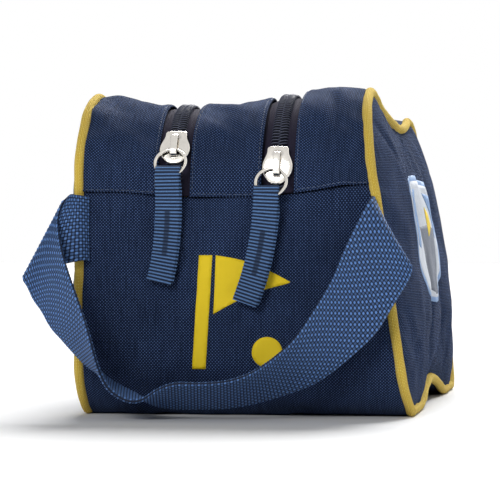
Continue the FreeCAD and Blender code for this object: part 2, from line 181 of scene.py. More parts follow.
def bottom_line():
    """The bottom from the handle end's seam down, along and up to the far seam: (y, z) points."""
    foot = HALF_LENGTH - FOOT_R
    arch_r = (FOOT_REST ** 2 + ARCH_RISE ** 2) / (4 * ARCH_RISE)
    points = [(-HALF_LENGTH, z) for z in np.arange(SEAM_Z, FOOT_R, -1.0)]
    points += [(-foot + FOOT_R * math.cos(a), FOOT_R + FOOT_R * math.sin(a))
               for a in np.linspace(math.pi, 1.5 * math.pi, 56)]
    for y in np.arange(-foot + 1, foot, 1.0):
        inner, outer = abs(y), FOOT_REST - abs(y)
        if outer <= 0:
            z = 0.0
        elif inner > FOOT_REST / 2:
            z = arch_r - math.sqrt(arch_r ** 2 - outer ** 2)
        else:
            z = ARCH_RISE - arch_r + math.sqrt(arch_r ** 2 - inner ** 2)
        points.append((y, z))
    points += [(foot + FOOT_R * math.cos(a), FOOT_R + FOOT_R * math.sin(a))
               for a in np.linspace(-0.5 * math.pi, 0, 56)]
    points += [(HALF_LENGTH, z) for z in np.arange(FOOT_R + 1, SEAM_Z + 0.5, 1.0)]
    line = np.array(points)
    line[:, 0] += MID_Y
    return line


def resample(line, step=None, count=None, closed=False):
    """The same polyline with evenly spaced points."""
    if closed:
        line = np.vstack([line, line[:1]])
    run = np.concatenate([[0], np.cumsum(np.linalg.norm(np.diff(line, axis=0), axis=1))])
    count = count or max(2, int(round(run[-1] / step)) + 1)
    at = np.linspace(0, run[-1], count + 1)[:-1] if closed else np.linspace(0, run[-1], count)
    return np.stack([np.interp(at, run, line[:, k]) for k in range(line.shape[1])], axis=1)


def outward(line, closed=False):
    """Outward unit directions of a polyline that runs handle end, bottom, far end."""
    if closed:
        along = np.roll(line, -1, axis=0) - np.roll(line, 1, axis=0)
    else:
        along = np.gradient(line, axis=0)
    out = np.stack([along[:, 1], -along[:, 0]], axis=1)
    return out / np.linalg.norm(out, axis=1)[:, None]


def side_loop(sink, inset, count):
    """The side's whole outline pulled in by inset, counter to the top: (y, z) points."""
    total = top_length(sink)[-1]
    y, z, _, _ = top_path(sink, np.linspace(total, 0, 500))
    loop = resample(np.vstack([bottom_line()[:-1], np.stack([y, z], axis=1)[:-1]]), count=count,
                    closed=True)
    return loop - outward(loop, closed=True) * inset


# ---------------------------------------------------------------- numbers for soft shapes
def lumps(u, v, seed, lowest, highest, turn=None):
    """Smooth unevenness, about -1 to 1 and the same each run, in waves lowest to highest long."""
    rng = np.random.default_rng(seed)
    total = 0.0
    for _ in range(14):
        wave = 2 * math.pi / rng.uniform(lowest, highest)
        angle = rng.uniform(0, math.pi) if turn is None else turn + rng.normal(0, 0.35)
        total = total + np.sin(wave * (u * math.cos(angle) + v * math.sin(angle))
                               + rng.uniform(0, 2 * math.pi))
    return total / 5.0


def dent(u, v, u0, v0, wide, tall, angle=0.0):
    """A soft round-edged hollow centred at (u0, v0), 1 in its middle."""
    c, s = math.cos(angle), math.sin(angle)
    a = ((u - u0) * c + (v - v0) * s) / wide
    b = (-(u - u0) * s + (v - v0) * c) / tall
    return np.exp(-a * a - b * b)


def dented(h, u, v, dents):
    """h lowered by each (depth, u0, v0, wide, tall, angle) hollow in turn."""
    for depth, u0, v0, wide, tall, angle in dents:
        h = h - depth * dent(u, v, u0, v0, wide, tall, angle)
    return h


def quarter(d, radius):
    """Depth of an edge rolled over a radius, at distance d from the edge."""
    t = np.clip(1 - d / radius, 0, 1)
    return radius * (1 - np.sqrt(1 - t * t))


# ---------------------------------------------------------------- mesh making
class Build:
    """Collects quads and turns them into one object."""

    def __init__(self):
        self.points, self.faces, self.uvs, self.count = [], [], [], 0

    def grid(self, points, u, v, ring_rows=False, ring_columns=False, flip=False):
        """points is rows x columns x 3; u and v are the same size, plus one where a ring closes."""
        rows, columns = points.shape[:2]
        i, j = np.meshgrid(np.arange(rows - (not ring_rows)),
                           np.arange(columns - (not ring_columns)), indexing="ij")
        i, j = i.ravel(), j.ravel()
        corners = [(i, j), (i, j + 1), (i + 1, j + 1), (i + 1, j)]
        if flip:
            corners.reverse()
        self.faces.append(np.stack([(a % rows) * columns + b % columns for a, b in corners],
                                   axis=1) + self.count)
        u = np.broadcast_to(u, (rows + ring_rows, columns + ring_columns))
        v = np.broadcast_to(v, (rows + ring_rows, columns + ring_columns))
        self.uvs.append(np.stack([np.stack([u[a, b], v[a, b]], axis=1) for a, b in corners],
                                 axis=1))
        self.points.append(points.reshape(-1, 3))
        self.count += rows * columns

    def sweep(self, path, up, section, ring=False, scale=None):
        """Runs a closed (across, up) section along a path; up is one direction or one a point."""
        path, section = np.asarray(path, float), np.asarray(section, float)
        if ring:
            along = np.roll(path, -1, axis=0) - np.roll(path, 1, axis=0)
            steps = np.linalg.norm(np.roll(path, -1, axis=0) - path, axis=1)
            run = np.concatenate([[0], np.cumsum(steps)])
        else:
            along = np.gradient(path, axis=0)
            run = np.concatenate([[0], np.cumsum(np.linalg.norm(np.diff(path, axis=0), axis=1))])
        along = along / np.linalg.norm(along, axis=1)[:, None]
        up = np.broadcast_to(np.asarray(up, float), path.shape)
        side = np.cross(along, up)
        side = side / np.linalg.norm(side, axis=1)[:, None]
        up = np.cross(side, along)
        scale = np.ones(len(path)) if scale is None else np.asarray(scale, float)
        points = (path[:, None] + side[:, None] * (section[None, :, 0] * scale[:, None])[..., None]
                  + up[:, None] * (section[None, :, 1] * scale[:, None])[..., None])
        edge = np.vstack([section, section[:1]])
        girth = np.concatenate([[0], np.cumsum(np.linalg.norm(np.diff(edge, axis=0), axis=1))])
        self.grid(points, run[:, None], girth[None, :], ring_rows=ring, ring_columns=True)

    def make(self, name, material, body):
        points = np.vstack(self.points) * MM
        faces = np.vstack(self.faces)
        mesh = bpy.data.meshes.new(name)
        mesh.vertices.add(len(points))
        mesh.vertices.foreach_set("co", points.astype(np.float32).ravel())
        mesh.loops.add(faces.size)
        mesh.loops.foreach_set("vertex_index", faces.astype(np.int32).ravel())
        mesh.polygons.add(len(faces))
        mesh.polygons.foreach_set("loop_start", np.arange(0, faces.size, 4, dtype=np.int32))
        mesh.polygons.foreach_set("use_smooth", np.ones(len(faces), bool))
        layer = mesh.uv_layers.new(name="cloth")
        layer.data.foreach_set("uv", np.vstack([x.reshape(-1, 2) for x in self.uvs])
                               .astype(np.float32).ravel())
        mesh.update(calc_edges=True)
        mesh.validate()
        return place(name, mesh, material, body)


def place(name, mesh, material, body):
    """An object of this mesh with its material, riding on a body if one is named."""
    thing = bpy.data.objects.new(name, mesh)
    bpy.context.scene.collection.objects.link(thing)
    mesh.materials.append(material)
    if body:
        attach(thing, body)
    return thing


def circle(radius, count, tall=None):
    """A round section, or an oval one of another height."""
    a = np.linspace(0, 2 * math.pi, count, endpoint=False)
    return np.stack([radius * np.cos(a), (tall or radius) * np.sin(a)], axis=1)


def plate(width, thickness, rounding, steps=4):
    """A flat rounded section, counter-clockwise."""
    points = []
    for cx, cy, start in ((width / 2 - rounding, thickness / 2 - rounding, 0),
                          (-width / 2 + rounding, thickness / 2 - rounding, 90),
                          (-width / 2 + rounding, -thickness / 2 + rounding, 180),
                          (width / 2 - rounding, -thickness / 2 + rounding, 270)):
        for k in range(steps):
            a = math.radians(start + 90 * k / (steps - 1))
            points.append((cx + rounding * math.cos(a), cy + rounding * math.sin(a)))
    return np.array(points)


def solidify(thing, thickness):
    """Gives a sheet its thickness, inwards from the face it was drawn on."""
    modifier = thing.modifiers.new("thickness", "SOLIDIFY")
    modifier.thickness = thickness * MM
    modifier.offset = -1.0
    modifier.use_rim = True


def smooth_curve(points, step):
    """Catmull-Rom curve through the points, evenly spaced."""
    p = np.array(points, float)
    p = np.vstack([2 * p[0] - p[1], p, 2 * p[-1] - p[-2]])
    out = []
    for k in range(1, len(p) - 2):
        for t in np.linspace(0, 1, 16, endpoint=False):
            out.append(0.5 * (2 * p[k] + (p[k + 1] - p[k - 1]) * t
                              + (2 * p[k - 1] - 5 * p[k] + 4 * p[k + 1] - p[k + 2]) * t * t
                              + (3 * p[k] - p[k - 1] - 3 * p[k + 1] + p[k + 2]) * t ** 3))
    out.append(p[-2])
    return resample(np.array(out), step=step)


def surface_of(*things):
    """A search tree of the things' final surfaces, in metres."""
    graph = bpy.context.evaluated_depsgraph_get()
    points, faces = [], []
    for thing in things:
        shown = thing.evaluated_get(graph)
        mesh = shown.to_mesh()
        start = len(points)
        points += [thing.matrix_world @ v.co for v in mesh.vertices]
        faces += [[start + i for i in p.vertices] for p in mesh.polygons]
        shown.to_mesh_clear()
    return BVHTree.FromPolygons(points, faces)


# ---------------------------------------------------------------- materials
class Look:
    """A small helper for building one node material."""

    def __init__(self, name, **values):
        self.material = bpy.data.materials.new(name)
        self.material.use_nodes = True
        self.tree = self.material.node_tree
        self.shader = self.tree.nodes["Principled BSDF"]
        for key, value in values.items():
            self.shader.inputs[key.replace("_", " ")].default_value = value
        if "Sheen_Weight" in values and "Sheen_Roughness" in values:
            self.shader.inputs["Sheen Tint"].default_value = (0.5, 0.65, 1.0, 1.0)
        uv = self.tree.nodes.new("ShaderNodeUVMap")
        uv.uv_map = "cloth"
        self.uv = uv.outputs[0]
        split = self.tree.nodes.new("ShaderNodeSeparateXYZ")
        self.link(self.uv, split.inputs[0])
        self.u, self.v = split.outputs[0], split.outputs[1]
        self.place = self.tree.nodes.new("ShaderNodeTexCoord").outputs["Object"]

    def link(self, a, b):
        self.tree.links.new(a, b)

    def put(self, socket, value):
        if hasattr(value, "links"):
            self.link(value, socket)
        else:
            socket.default_value = value

    def math(self, operation, *values, clamp=False):
        node = self.tree.nodes.new("ShaderNodeMath")
        node.operation = operation
        node.use_clamp = clamp
        for socket, value in zip(node.inputs, values):
            self.put(socket, value)
        return node.outputs[0]

    def times(self, a, b, clamp=False):
        return self.math("MULTIPLY", a, b, clamp=clamp)

    def line(self, value, slope, start, clamp=False):
        return self.math("MULTIPLY_ADD", value, slope, start, clamp=clamp)

    def noise(self, vector, scale, detail=3.0, rough=0.6, stretch=None):
        if stretch:
            mapping = self.tree.nodes.new("ShaderNodeMapping")
            self.link(vector, mapping.inputs[0])
            mapping.inputs["Scale"].default_value = stretch
            vector = mapping.outputs[0]
        node = self.tree.nodes.new("ShaderNodeTexNoise")
        self.link(vector, node.inputs["Vector"])
        for key, value in (("Scale", scale), ("Detail", detail), ("Roughness", rough)):
            node.inputs[key].default_value = value
        return node.outputs[0]

    def mix(self, factor, a, b):
        node = self.tree.nodes.new("ShaderNodeMix")
        node.data_type = "RGBA"
        for number, value in ((0, factor), (6, a), (7, b)):
            self.put(node.inputs[number], (*value, 1.0) if isinstance(value, tuple) else value)
        return node.outputs[2]

    def wave(self, value, pitch):
        """1 on each thread's crown and 0 between threads."""
        return self.math("ABSOLUTE", self.math("SINE", self.line(value, math.pi / pitch, 0.0)))

    def weave(self, pitch):
        """(height, over) of a plain weave: the crowns, and which thread is on top."""
        a = self.math("SINE", self.times(self.u, math.pi / pitch))
        b = self.math("SINE", self.times(self.v, math.pi / pitch))
        cells = self.times(a, b)
        height = self.math("POWER", self.math("ABSOLUTE", cells), 0.7)
        return height, self.line(cells, 4.0, 0.5, clamp=True)

    def bump(self, height, depth_mm):
        node = self.tree.nodes.new("ShaderNodeBump")
        node.inputs["Strength"].default_value = 1.0
        node.inputs["Distance"].default_value = depth_mm * MM
        self.link(height, node.inputs["Height"])
        return node.outputs[0]

    def finish(self, colour, normal, roughness=None):
        for name, value in (("Base Color", colour), ("Normal", normal), ("Roughness", roughness)):
            if value is not None:
                self.put(self.shader.inputs[name], value)
        return self.material


def cloth_look(name, dark, light, pitch, depth, shade=(0.75, 1.2), sheen=0.02, flat=0.12):
    """Plain-woven cloth: painted highlights on the thread crowns, painted shade in the gaps, slubs
    and slow random changes of tone.
    """
    look = Look(name, Roughness=0.82, Sheen_Weight=sheen, Sheen_Roughness=0.45,
                Specular_IOR_Level=0.06)
    height, over = look.weave(pitch)
    slub_u = look.noise(look.uv, 1.0, 2.0, stretch=(0.9, 0.05, 1.0))
    slub_v = look.noise(look.uv, 1.0, 2.0, stretch=(0.05, 0.9, 1.0))
    thread = look.math("ADD", look.times(slub_u, over),
                       look.times(slub_v, look.math("SUBTRACT", 1.0, over)))
    # painted highlight and painted shade: the colour runs from dark in the gaps to light on the
    # crowns of the threads that lie on top
    lit = look.times(look.math("POWER", height, 1.5), look.line(over, 1.0 - flat, flat))
    lift = look.times(lit, look.line(thread, 2.2, 0.0), clamp=True)
    value = look.tree.nodes.new("ShaderNodeHueSaturation")
    look.link(look.mix(lift, dark, light), value.inputs["Color"])
    slow = look.noise(look.place, 22.0, rough=0.5)
    look.link(look.line(slow, (shade[1] - shade[0]) * 1.6, shade[0] - 0.18), value.inputs["Value"])
    total = look.line(look.noise(look.uv, 6.0, 2.0, 0.7), 0.25, height)
    return look.finish(value.outputs[0], look.bump(total, depth), look.line(height, -0.12, 0.88))


def webbing_look(name):
    """Heavy plain-woven webbing: painted highlights on the thick lengthwise crowns, with painted
    shade on the cross threads and gaps between them.
    """
    look = Look(name, Roughness=0.62, Sheen_Weight=0.08, Sheen_Roughness=0.4,
                Specular_IOR_Level=0.22)
    height, over = look.weave(THREAD_PITCH)
    twist = look.wave(look.line(look.u, 0.6, look.v), 0.42)
    # painted highlight on the crowns and painted shade between them, from near black to light blue by
    # crown height
    lit = look.times(look.line(height, 2.1, -0.6, clamp=True), look.line(over, 0.6, 0.4))
    lift = look.times(lit, look.line(look.noise(look.uv, 0.9), 1.3, 0.4), clamp=True)
    colour = look.mix(lift, (0.001, 0.004, 0.015), (0.15, 0.31, 0.70))
    colour = look.mix(look.times(twist, 0.25), colour, (0.02, 0.04, 0.1))
    return look.finish(colour, look.bump(look.line(twist, 0.2, height), 0.35))


def grosgrain_look(name):
    """Ribbed pull webbing with painted highlights on the rib crowns, painted shade between them and
    painted shade in the sunken stitched slot down the middle.
    """
    look = Look(name, Roughness=0.62, Sheen_Weight=0.06, Sheen_Roughness=0.4,
                Specular_IOR_Level=0.2)
    # painted highlight on each rib's crown and painted shade between the ribs
    rib = look.math("POWER", look.wave(look.u, RIB_PITCH), 3.0)
    threads = look.wave(look.v, 0.62)
    lift = look.times(look.line(threads, 0.45, 0.35),
                      look.times(rib, look.line(look.noise(look.uv, 1.3), 1.2, 0.5)))
    colour = look.mix(lift, (0.002, 0.005, 0.018), (0.15, 0.30, 0.62))
    # painted shade in the slot: the recess that the pull's face sinks there is coloured near black
    from_middle = look.math("ABSOLUTE", look.math("SUBTRACT", look.u, SLOT_MIDDLE))
    along = look.math("SUBTRACT", 1.0, look.times(from_middle, 1 / SLOT_HALF_LENGTH), clamp=True)
    across = look.math("SUBTRACT", 1.0, look.times(look.math("ABSOLUTE", look.v), 1 / 1.9),
                       clamp=True)
    slot = look.times(look.times(along, 12.0, clamp=True), look.times(across, 2.5, clamp=True))
    colour = look.mix(look.times(slot, 0.8), colour, (0.008, 0.016, 0.04))
    return look.finish(colour, look.bump(look.line(threads, 0.35, rib), 0.3))


def tape_look(name):
    """Herringbone zip tape in a purplish charcoal."""
    look = Look(name, Roughness=0.85, Specular_IOR_Level=0.15)
    zigzag = look.math("PINGPONG", look.v, 1.6)
    lines = look.wave(look.math("ADD", look.u, zigzag), 0.7)
    colour = look.mix(lines, (0.002, 0.002, 0.006), (0.036, 0.031, 0.058))
    return look.finish(colour, look.bump(lines, 0.2))


def coil_look(name):
    """Moulded nylon coil: near black between the bars, with a painted highlight along each bar's top.
    """
    look = Look(name, Roughness=0.42, Specular_IOR_Level=0.3)
    grain = look.noise(look.place, 1500.0)
    # painted highlight: colour lightened where each bar's round faces outwards
    around = look.math("SINE", look.times(look.v, 2 * math.pi / COIL_GIRTH))
    crest = look.math("POWER", look.math("MAXIMUM", around, 0.0), 2.5)
    colour = look.mix(look.times(crest, look.line(grain, 0.8, 0.6)),
                      (0.001, 0.002, 0.005), (0.055, 0.062, 0.10))
    return look.finish(colour, look.bump(grain, 0.05), look.line(grain, 0.25, 0.28))


def nickel_look(name):
    """Bright plated metal with painted shade in its corners, handling scratches and cloudy patches.
    """
    look = Look(name, Metallic=1.0, Roughness=0.16)
    cloud = look.noise(look.place, 260.0)
    scratch = look.noise(look.place, 500.0, 2.0, 0.7, stretch=(1.0, 6.0, 1.0))
    # painted shade: ambient occlusion darkens the colour in corners and crevices
    corner_shade = look.tree.nodes.new("ShaderNodeAmbientOcclusion")
    corner_shade.samples = 16
    corner_shade.inputs["Distance"].default_value = 2.2 * MM
    colour = look.mix(look.math("POWER", corner_shade.outputs["AO"], 2.2), (0.09, 0.085, 0.08),
                      look.mix(cloud, (0.78, 0.74, 0.68), (0.97, 0.93, 0.87)))
    return look.finish(colour, look.bump(scratch, 0.01), look.line(scratch, 0.18, 0.08))


def print_look(name, colour, gap_shade_colour):
    """Heat-transfer film pressed onto the weave, so that the threads still show through, with painted
    shade in the gaps between threads.
    """
    look = Look(name, Roughness=0.55, Specular_IOR_Level=0.35)
    height, _ = look.weave(0.7)
    cloud = look.noise(look.place, 45.0, 4.0)
    # painted shade: the darker colour fills the weave's gaps, more strongly in random cloudy patches
    shade = look.times(look.line(height, -0.6, 0.75), look.line(cloud, 0.8, 0.2), clamp=True)
    return look.finish(look.mix(shade, colour, gap_shade_colour), look.bump(height, 0.12),
                       look.line(cloud, 0.3, 0.4))


def thread_look(name, colour):
    """Twisted sewing thread, with painted shade in the grooves of the twist."""
    look = Look(name, Roughness=0.6, Sheen_Weight=0.4)
    twist = look.wave(look.math("ADD", look.u, look.v), 0.35)
    # painted shade: the thread's colour darkened in the grooves between the twist's crowns
    groove_shaded_colour = look.mix(twist, tuple(c * 0.45 for c in colour), colour)
    return look.finish(groove_shaded_colour, look.bump(twist, 0.1))


# in each weave colour pair the first is painted shade in the gaps and the second a painted highlight
# on the thread crowns
NAVY = cloth_look("navy_weave", (0.003, 0.007, 0.024), (0.112, 0.187, 0.415), 0.95, 0.6)
LINING = cloth_look("lining_weave", (0.006, 0.008, 0.014), (0.03, 0.036, 0.055), 0.5, 0.08)
PIPING = cloth_look("piping_weave", (0.72, 0.42, 0.02), (1.0, 0.88, 0.25), 0.85, 0.35,
                    shade=(0.95, 1.12), sheen=0.1, flat=0.6)
BINDING = cloth_look("binding_weave", (0.004, 0.006, 0.014), (0.03, 0.045, 0.085), 0.8, 0.15)
WEBBING = webbing_look("handle_webbing")
GROSGRAIN = grosgrain_look("pull_grosgrain")
TAPE = tape_look("zip_tape_cloth")
COIL = coil_look("zip_coil_nylon")
NICKEL = nickel_look("nickel_plate")
THREAD = thread_look("topstitch_thread", (0.06, 0.10, 0.2))
# the second colour of each film is painted shade in the weave's gaps
YELLOW = print_look("yellow_film", (0.90, 0.66, 0.008), (0.72, 0.50, 0.006))
WHITE = print_look("white_film", (0.66, 0.70, 0.76), (0.5, 0.54, 0.62))
PALE_BLUE = print_look("pale_blue_film", (0.22, 0.36, 0.62), (0.16, 0.27, 0.5))
GREY = print_look("grey_film", (0.17, 0.19, 0.24), (0.11, 0.13, 0.17))


# ---------------------------------------------------------------- fabric panels of the gusset
def column_places(width, inner):
    """Shares 0 to 1 across a strip, close together at both edges."""
    edge = np.array([0, 0.35, 0.8, 1.3, 1.9, 2.6, 3.5, 4.6, 6.0]) / width
    return np.unique(np.concatenate([edge, 1 - edge, np.linspace(8 / width, 1 - 8 / width,
                                                                 inner)]))


def lower_panel():
    """End, bottom and far end in one length of padded fabric."""
    line = resample(bottom_line(), step=CLOTH_STEP)
    out = outward(line)
    s = np.concatenate([[0], np.cumsum(np.linalg.norm(np.diff(line, axis=0), axis=1))])[:, None]
    end = s[-1]
    share = column_places(182, 96)[None, :]
    left = LEFT_SEAM + SEAM_TUCK
    right = right_seam(line[:, 1])[:, None] - SEAM_TUCK
    x = left + share * (right - left)
    near_edge = np.minimum(x - left, right - x)
    ends = np.minimum(s, end - s)
    dome = 3.2 * np.sin(np.pi * share) ** 0.8 * np.sin(np.pi * np.clip(ends / 150, 0, 1)) ** 0.9
    h = dome - 0.95 * quarter(near_edge, 3.4) - 1.5 * np.exp(-(ends / 2.6) ** 2)
    h = h + 0.9 * lumps(x, s, 11, 30, 80) + 0.3 * lumps(x, s, 12, 10, 26, turn=0.6)
    h = h + 0.35 * lumps(s, x * 0, 13, 9, 26) * np.exp(-near_edge / 7)
    h = h + 0.30 * lumps(x, s * 0, 14, 10, 30) * np.exp(-ends / 8)
    h = dented(h, x, s, [(1.2, 8, 60, 40, 7, 0.08), (1.4, 66, 84, 6, 26, 0.5),
                         (1.3, -66, 96, 6, 22, -0.6), (1.0, 52, 30, 5, 20, -0.7)])
    y = line[:, :1] + out[:, :1] * h
    z = np.maximum(line[:, 1:] + out[:, 1:] * h, 0.1)
    z = z + wander(x, y, z)
    build = Build()
    build.grid(np.stack([x, y, z], axis=-1), x, s, flip=True)
    panel = build.make("end_and_bottom_panel", NAVY, "bag")
    solidify(panel, 1.5)
    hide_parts("lower_gusset")
    return panel


def top_strip(name, node, left_zip, right_zip, seed, dents=()):
    """One padded strip of the top, from one end seam to the other."""
    folds = np.array([0, 0.3, 0.7, 1.2, 1.9, 2.8, 4.0, 5.6])
    share_s = np.unique(np.concatenate([folds / 410, 1 - folds / 410,
                                        np.linspace(0.018, 0.982, 205)]))[:, None]
    left = ZIPS[left_zip]["x"] + ZIP_GAP / 2 if left_zip else LEFT_SEAM + SEAM_TUCK
    guess = (ZIPS[right_zip]["x"] - ZIP_GAP / 2 if right_zip
             else right_seam(SIDE_TOP) - SEAM_TUCK)
    share = column_places(guess - left, int((guess - left) / CLOTH_STEP))[None, :]
    sink = dip(left + share * (guess - left))
    total = top_length(sink)[-1]
    s = share_s * total
    y, z, ny, nz = top_path(sink, s)
    right = guess if right_zip else right_seam(z) - SEAM_TUCK
    x = left + share * (right - left) + 0 * z
    from_left, from_right = x - left, right - x
    ends = np.minimum(s, total - s)
    h = 1.2 * lumps(x, s, seed, 24, 60) + 0.42 * lumps(x, s, seed + 1, 9, 22, turn=0.7)
    for distance, is_fold in ((from_left, left_zip), (from_right, right_zip)):
        if is_fold:
            h = h * (1 - 0.6 * np.exp(-distance / 5)) - 1.25 * quarter(distance, 1.0)
            h = h + 0.5 * np.exp(-((distance - 3.4) / 2.0) ** 2)
            h = h - 0.3 * np.exp(-((distance - 1.4) / 0.6) ** 2)
        else:
            h = h - 0.95 * quarter(distance, 3.4)
            h = h + 0.3 * lumps(s, x * 0, seed + 3, 9, 26) * np.exp(-distance / 7)
    h = h + 0.9 * np.exp(-(ends / 3.5) ** 2) - 1.2 * quarter(ends, 0.9)
    h = h - 0.4 * np.exp(-((ends - 1.9) / 0.6) ** 2)
    h = dented(h, x, s, dents)
    build = Build()
    y, z = y + ny * h, z + nz * h
    build.grid(np.stack([x, y, z + wander(x, y, z)], axis=-1), x, s)
    strip = build.make(name, NAVY, "bag")
    solidify(strip, 1.3)
    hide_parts(node)
    return strip


END_PANEL = lower_panel()
STRIPS = [
    top_strip("top_strip_left", "zip_gusset_left", None, "left", 21,
              [(3.25, -72, 66, 9, 16, 0.9), (2.75, -72, 26, 11, 7, 0.5),
               (1.75, -56, 104, 6, 22, 0.2), (2.0, -70, 190, 8, 30, -0.4),
               (1.875, -62, 300, 7, 25, 0.5)]),
    top_strip("top_strip_centre", "zip_gusset_centre", "left", "right", 31,
              [(1.375, -4, 40, 9, 26, 0.2), (1.625, 4, 120, 12, 9, 0.3),
               (1.5, -6, 240, 10, 20, 0.6)]),
    top_strip("top_strip_right", "zip_gusset_right", "right", None, 41,
              [(2.75, 58, 62, 3.6, 30, 0.12), (2.0, 66, 24, 5, 14, -0.5),
               (1.625, 52, 110, 6, 20, 0.5), (2.0, 60, 210, 7, 30, 0.3),
               (1.75, 62, 310, 6, 24, -0.4)]),
]


# ---------------------------------------------------------------- side panels
def inside(points, loop):
    """True for the 2-D points that lie in the closed loop."""
    a, b = loop, np.roll(loop, -1, axis=0)
    px, py = points[:, :1], points[:, 1:]
    crosses = (a[:, 1] > py) != (b[:, 1] > py)
    with np.errstate(divide="ignore", invalid="ignore"):
        at = (b[:, 0] - a[:, 0]) * (py - a[:, 1]) / (b[:, 1] - a[:, 1]) + a[:, 0]
    return (crosses & (px < at)).sum(axis=1) % 2 == 1


def distance_to(points, loop):
    """Distance from each 2-D point to the nearest point of a loop."""
    return np.sqrt(((points[:, None] - loop[None]) ** 2).sum(axis=2)).min(axis=1)


def cut_cloth(rim, loops, spacing, margin):
    """Even triangles over a flat outline: 2-D points and faces."""
    low, high = rim.min(axis=0), rim.max(axis=0)
    rows = np.arange(low[1], high[1], spacing * 0.866)
    grid = [(x + (k % 2) * spacing / 2, y) for k, y in enumerate(rows)
            for x in np.arange(low[0], high[0], spacing)]
    grid = np.array(grid)
    grid = grid[inside(grid, rim)]
    grid = grid[distance_to(grid, rim) > margin]
    points = np.vstack([rim, *loops, grid])
    count = len(rim)
    edges = [(k, (k + 1) % count) for k in range(count)]
    made = delaunay_2d_cdt([Vector(p) for p in points], edges, [], 1, 1e-5)
    return np.array([tuple(v) for v in made[0]]), [list(f) for f in made[2]]


def cloth_mesh(name, points, faces, flat):
    """A mesh of the 3-D points (mm) whose cloth coordinates are the flat ones."""
    mesh = bpy.data.meshes.new(name)
    mesh.from_pydata((points * MM).tolist(), [], faces)
    layer = mesh.uv_layers.new(name="cloth")
    order = np.zeros(len(mesh.loops), np.int32)
    mesh.loops.foreach_get("vertex_index", order)
    layer.data.foreach_set("uv", flat[order].astype(np.float32).ravel())
    mesh.polygons.foreach_set("use_smooth", np.ones(len(mesh.polygons), bool))
    mesh.update()
    return mesh


def read_points(mesh):
    """A mesh's points in millimetres."""
    points = np.zeros(len(mesh.vertices) * 3, np.float32)
    mesh.vertices.foreach_get("co", points)
    return points.reshape(-1, 3).astype(float) / MM


def puff(mesh, pinned, pressure, grow, frames, cap):
    """Swells the cloth against its sewn rim with a short cloth simulation."""
    rest = read_points(mesh)
    thing = bpy.data.objects.new("swelling", mesh)
    bpy.context.scene.collection.objects.link(thing)
    thing.vertex_groups.new(name="sewn").add([int(i) for i in pinned], 1.0, "REPLACE")
    cloth = thing.modifiers.new("swell", "CLOTH")
    cloth.settings.vertex_group_mass = "sewn"
    cloth.settings.quality = 6
    cloth.settings.mass = 0.25
    cloth.settings.tension_stiffness = 18
    cloth.settings.compression_stiffness = 18
    cloth.settings.shear_stiffness = 8
    cloth.settings.bending_stiffness = 1.2
    cloth.settings.air_damping = 4
    cloth.settings.shrink_min = -grow
    cloth.settings.use_pressure = True
    cloth.settings.uniform_pressure_force = pressure
    cloth.settings.effector_weights.gravity = 0
    cloth.collision_settings.use_collision = False
    cloth.point_cache.frame_start = 1
    cloth.point_cache.frame_end = frames
    for number in range(1, frames + 1):
        bpy.context.scene.frame_set(number)
    shown = thing.evaluated_get(bpy.context.evaluated_depsgraph_get())
    swollen = read_points(shown.data)
    bpy.data.objects.remove(thing)
    bpy.context.scene.frame_set(1)
    move = swollen - rest
    size = np.linalg.norm(move, axis=1)[:, None]
    move = move * np.minimum(1, cap / np.maximum(size, 1e-6))
    mesh.vertices.foreach_set("co", ((rest + move) * MM).astype(np.float32).ravel())
    mesh.update()


def divided(mesh, levels):
    """The mesh after Catmull-Clark subdivision."""
    thing = bpy.data.objects.new("dividing", mesh)
    bpy.context.scene.collection.objects.link(thing)
    modifier = thing.modifiers.new("divide", "SUBSURF")
    modifier.levels = levels
    graph = bpy.context.evaluated_depsgraph_get()
    fine = bpy.data.meshes.new_from_object(thing.evaluated_get(graph))
    bpy.data.objects.remove(thing)
    return fine


# creases of a side panel, (depth, Y from the middle, height, wide, tall, angle); below 0 is a ridge
SIDE_DENTS = [(2.0, -128, 158, 4, 24, 0.9), (1.6, -140, 40, 5, 24, -0.9),
              (2.0, 128, 158, 5, 26, -0.9), (1.6, 142, 38, 5, 24, 0.8),
              (-1.5, -112, 130, 7, 40, 0.35), (1.2, -60, 40, 12, 30, 1.1),
              (1.3, 20, 150, 30, 9, 0.1), (-1.0, 60, 70, 16, 40, 0.7)]


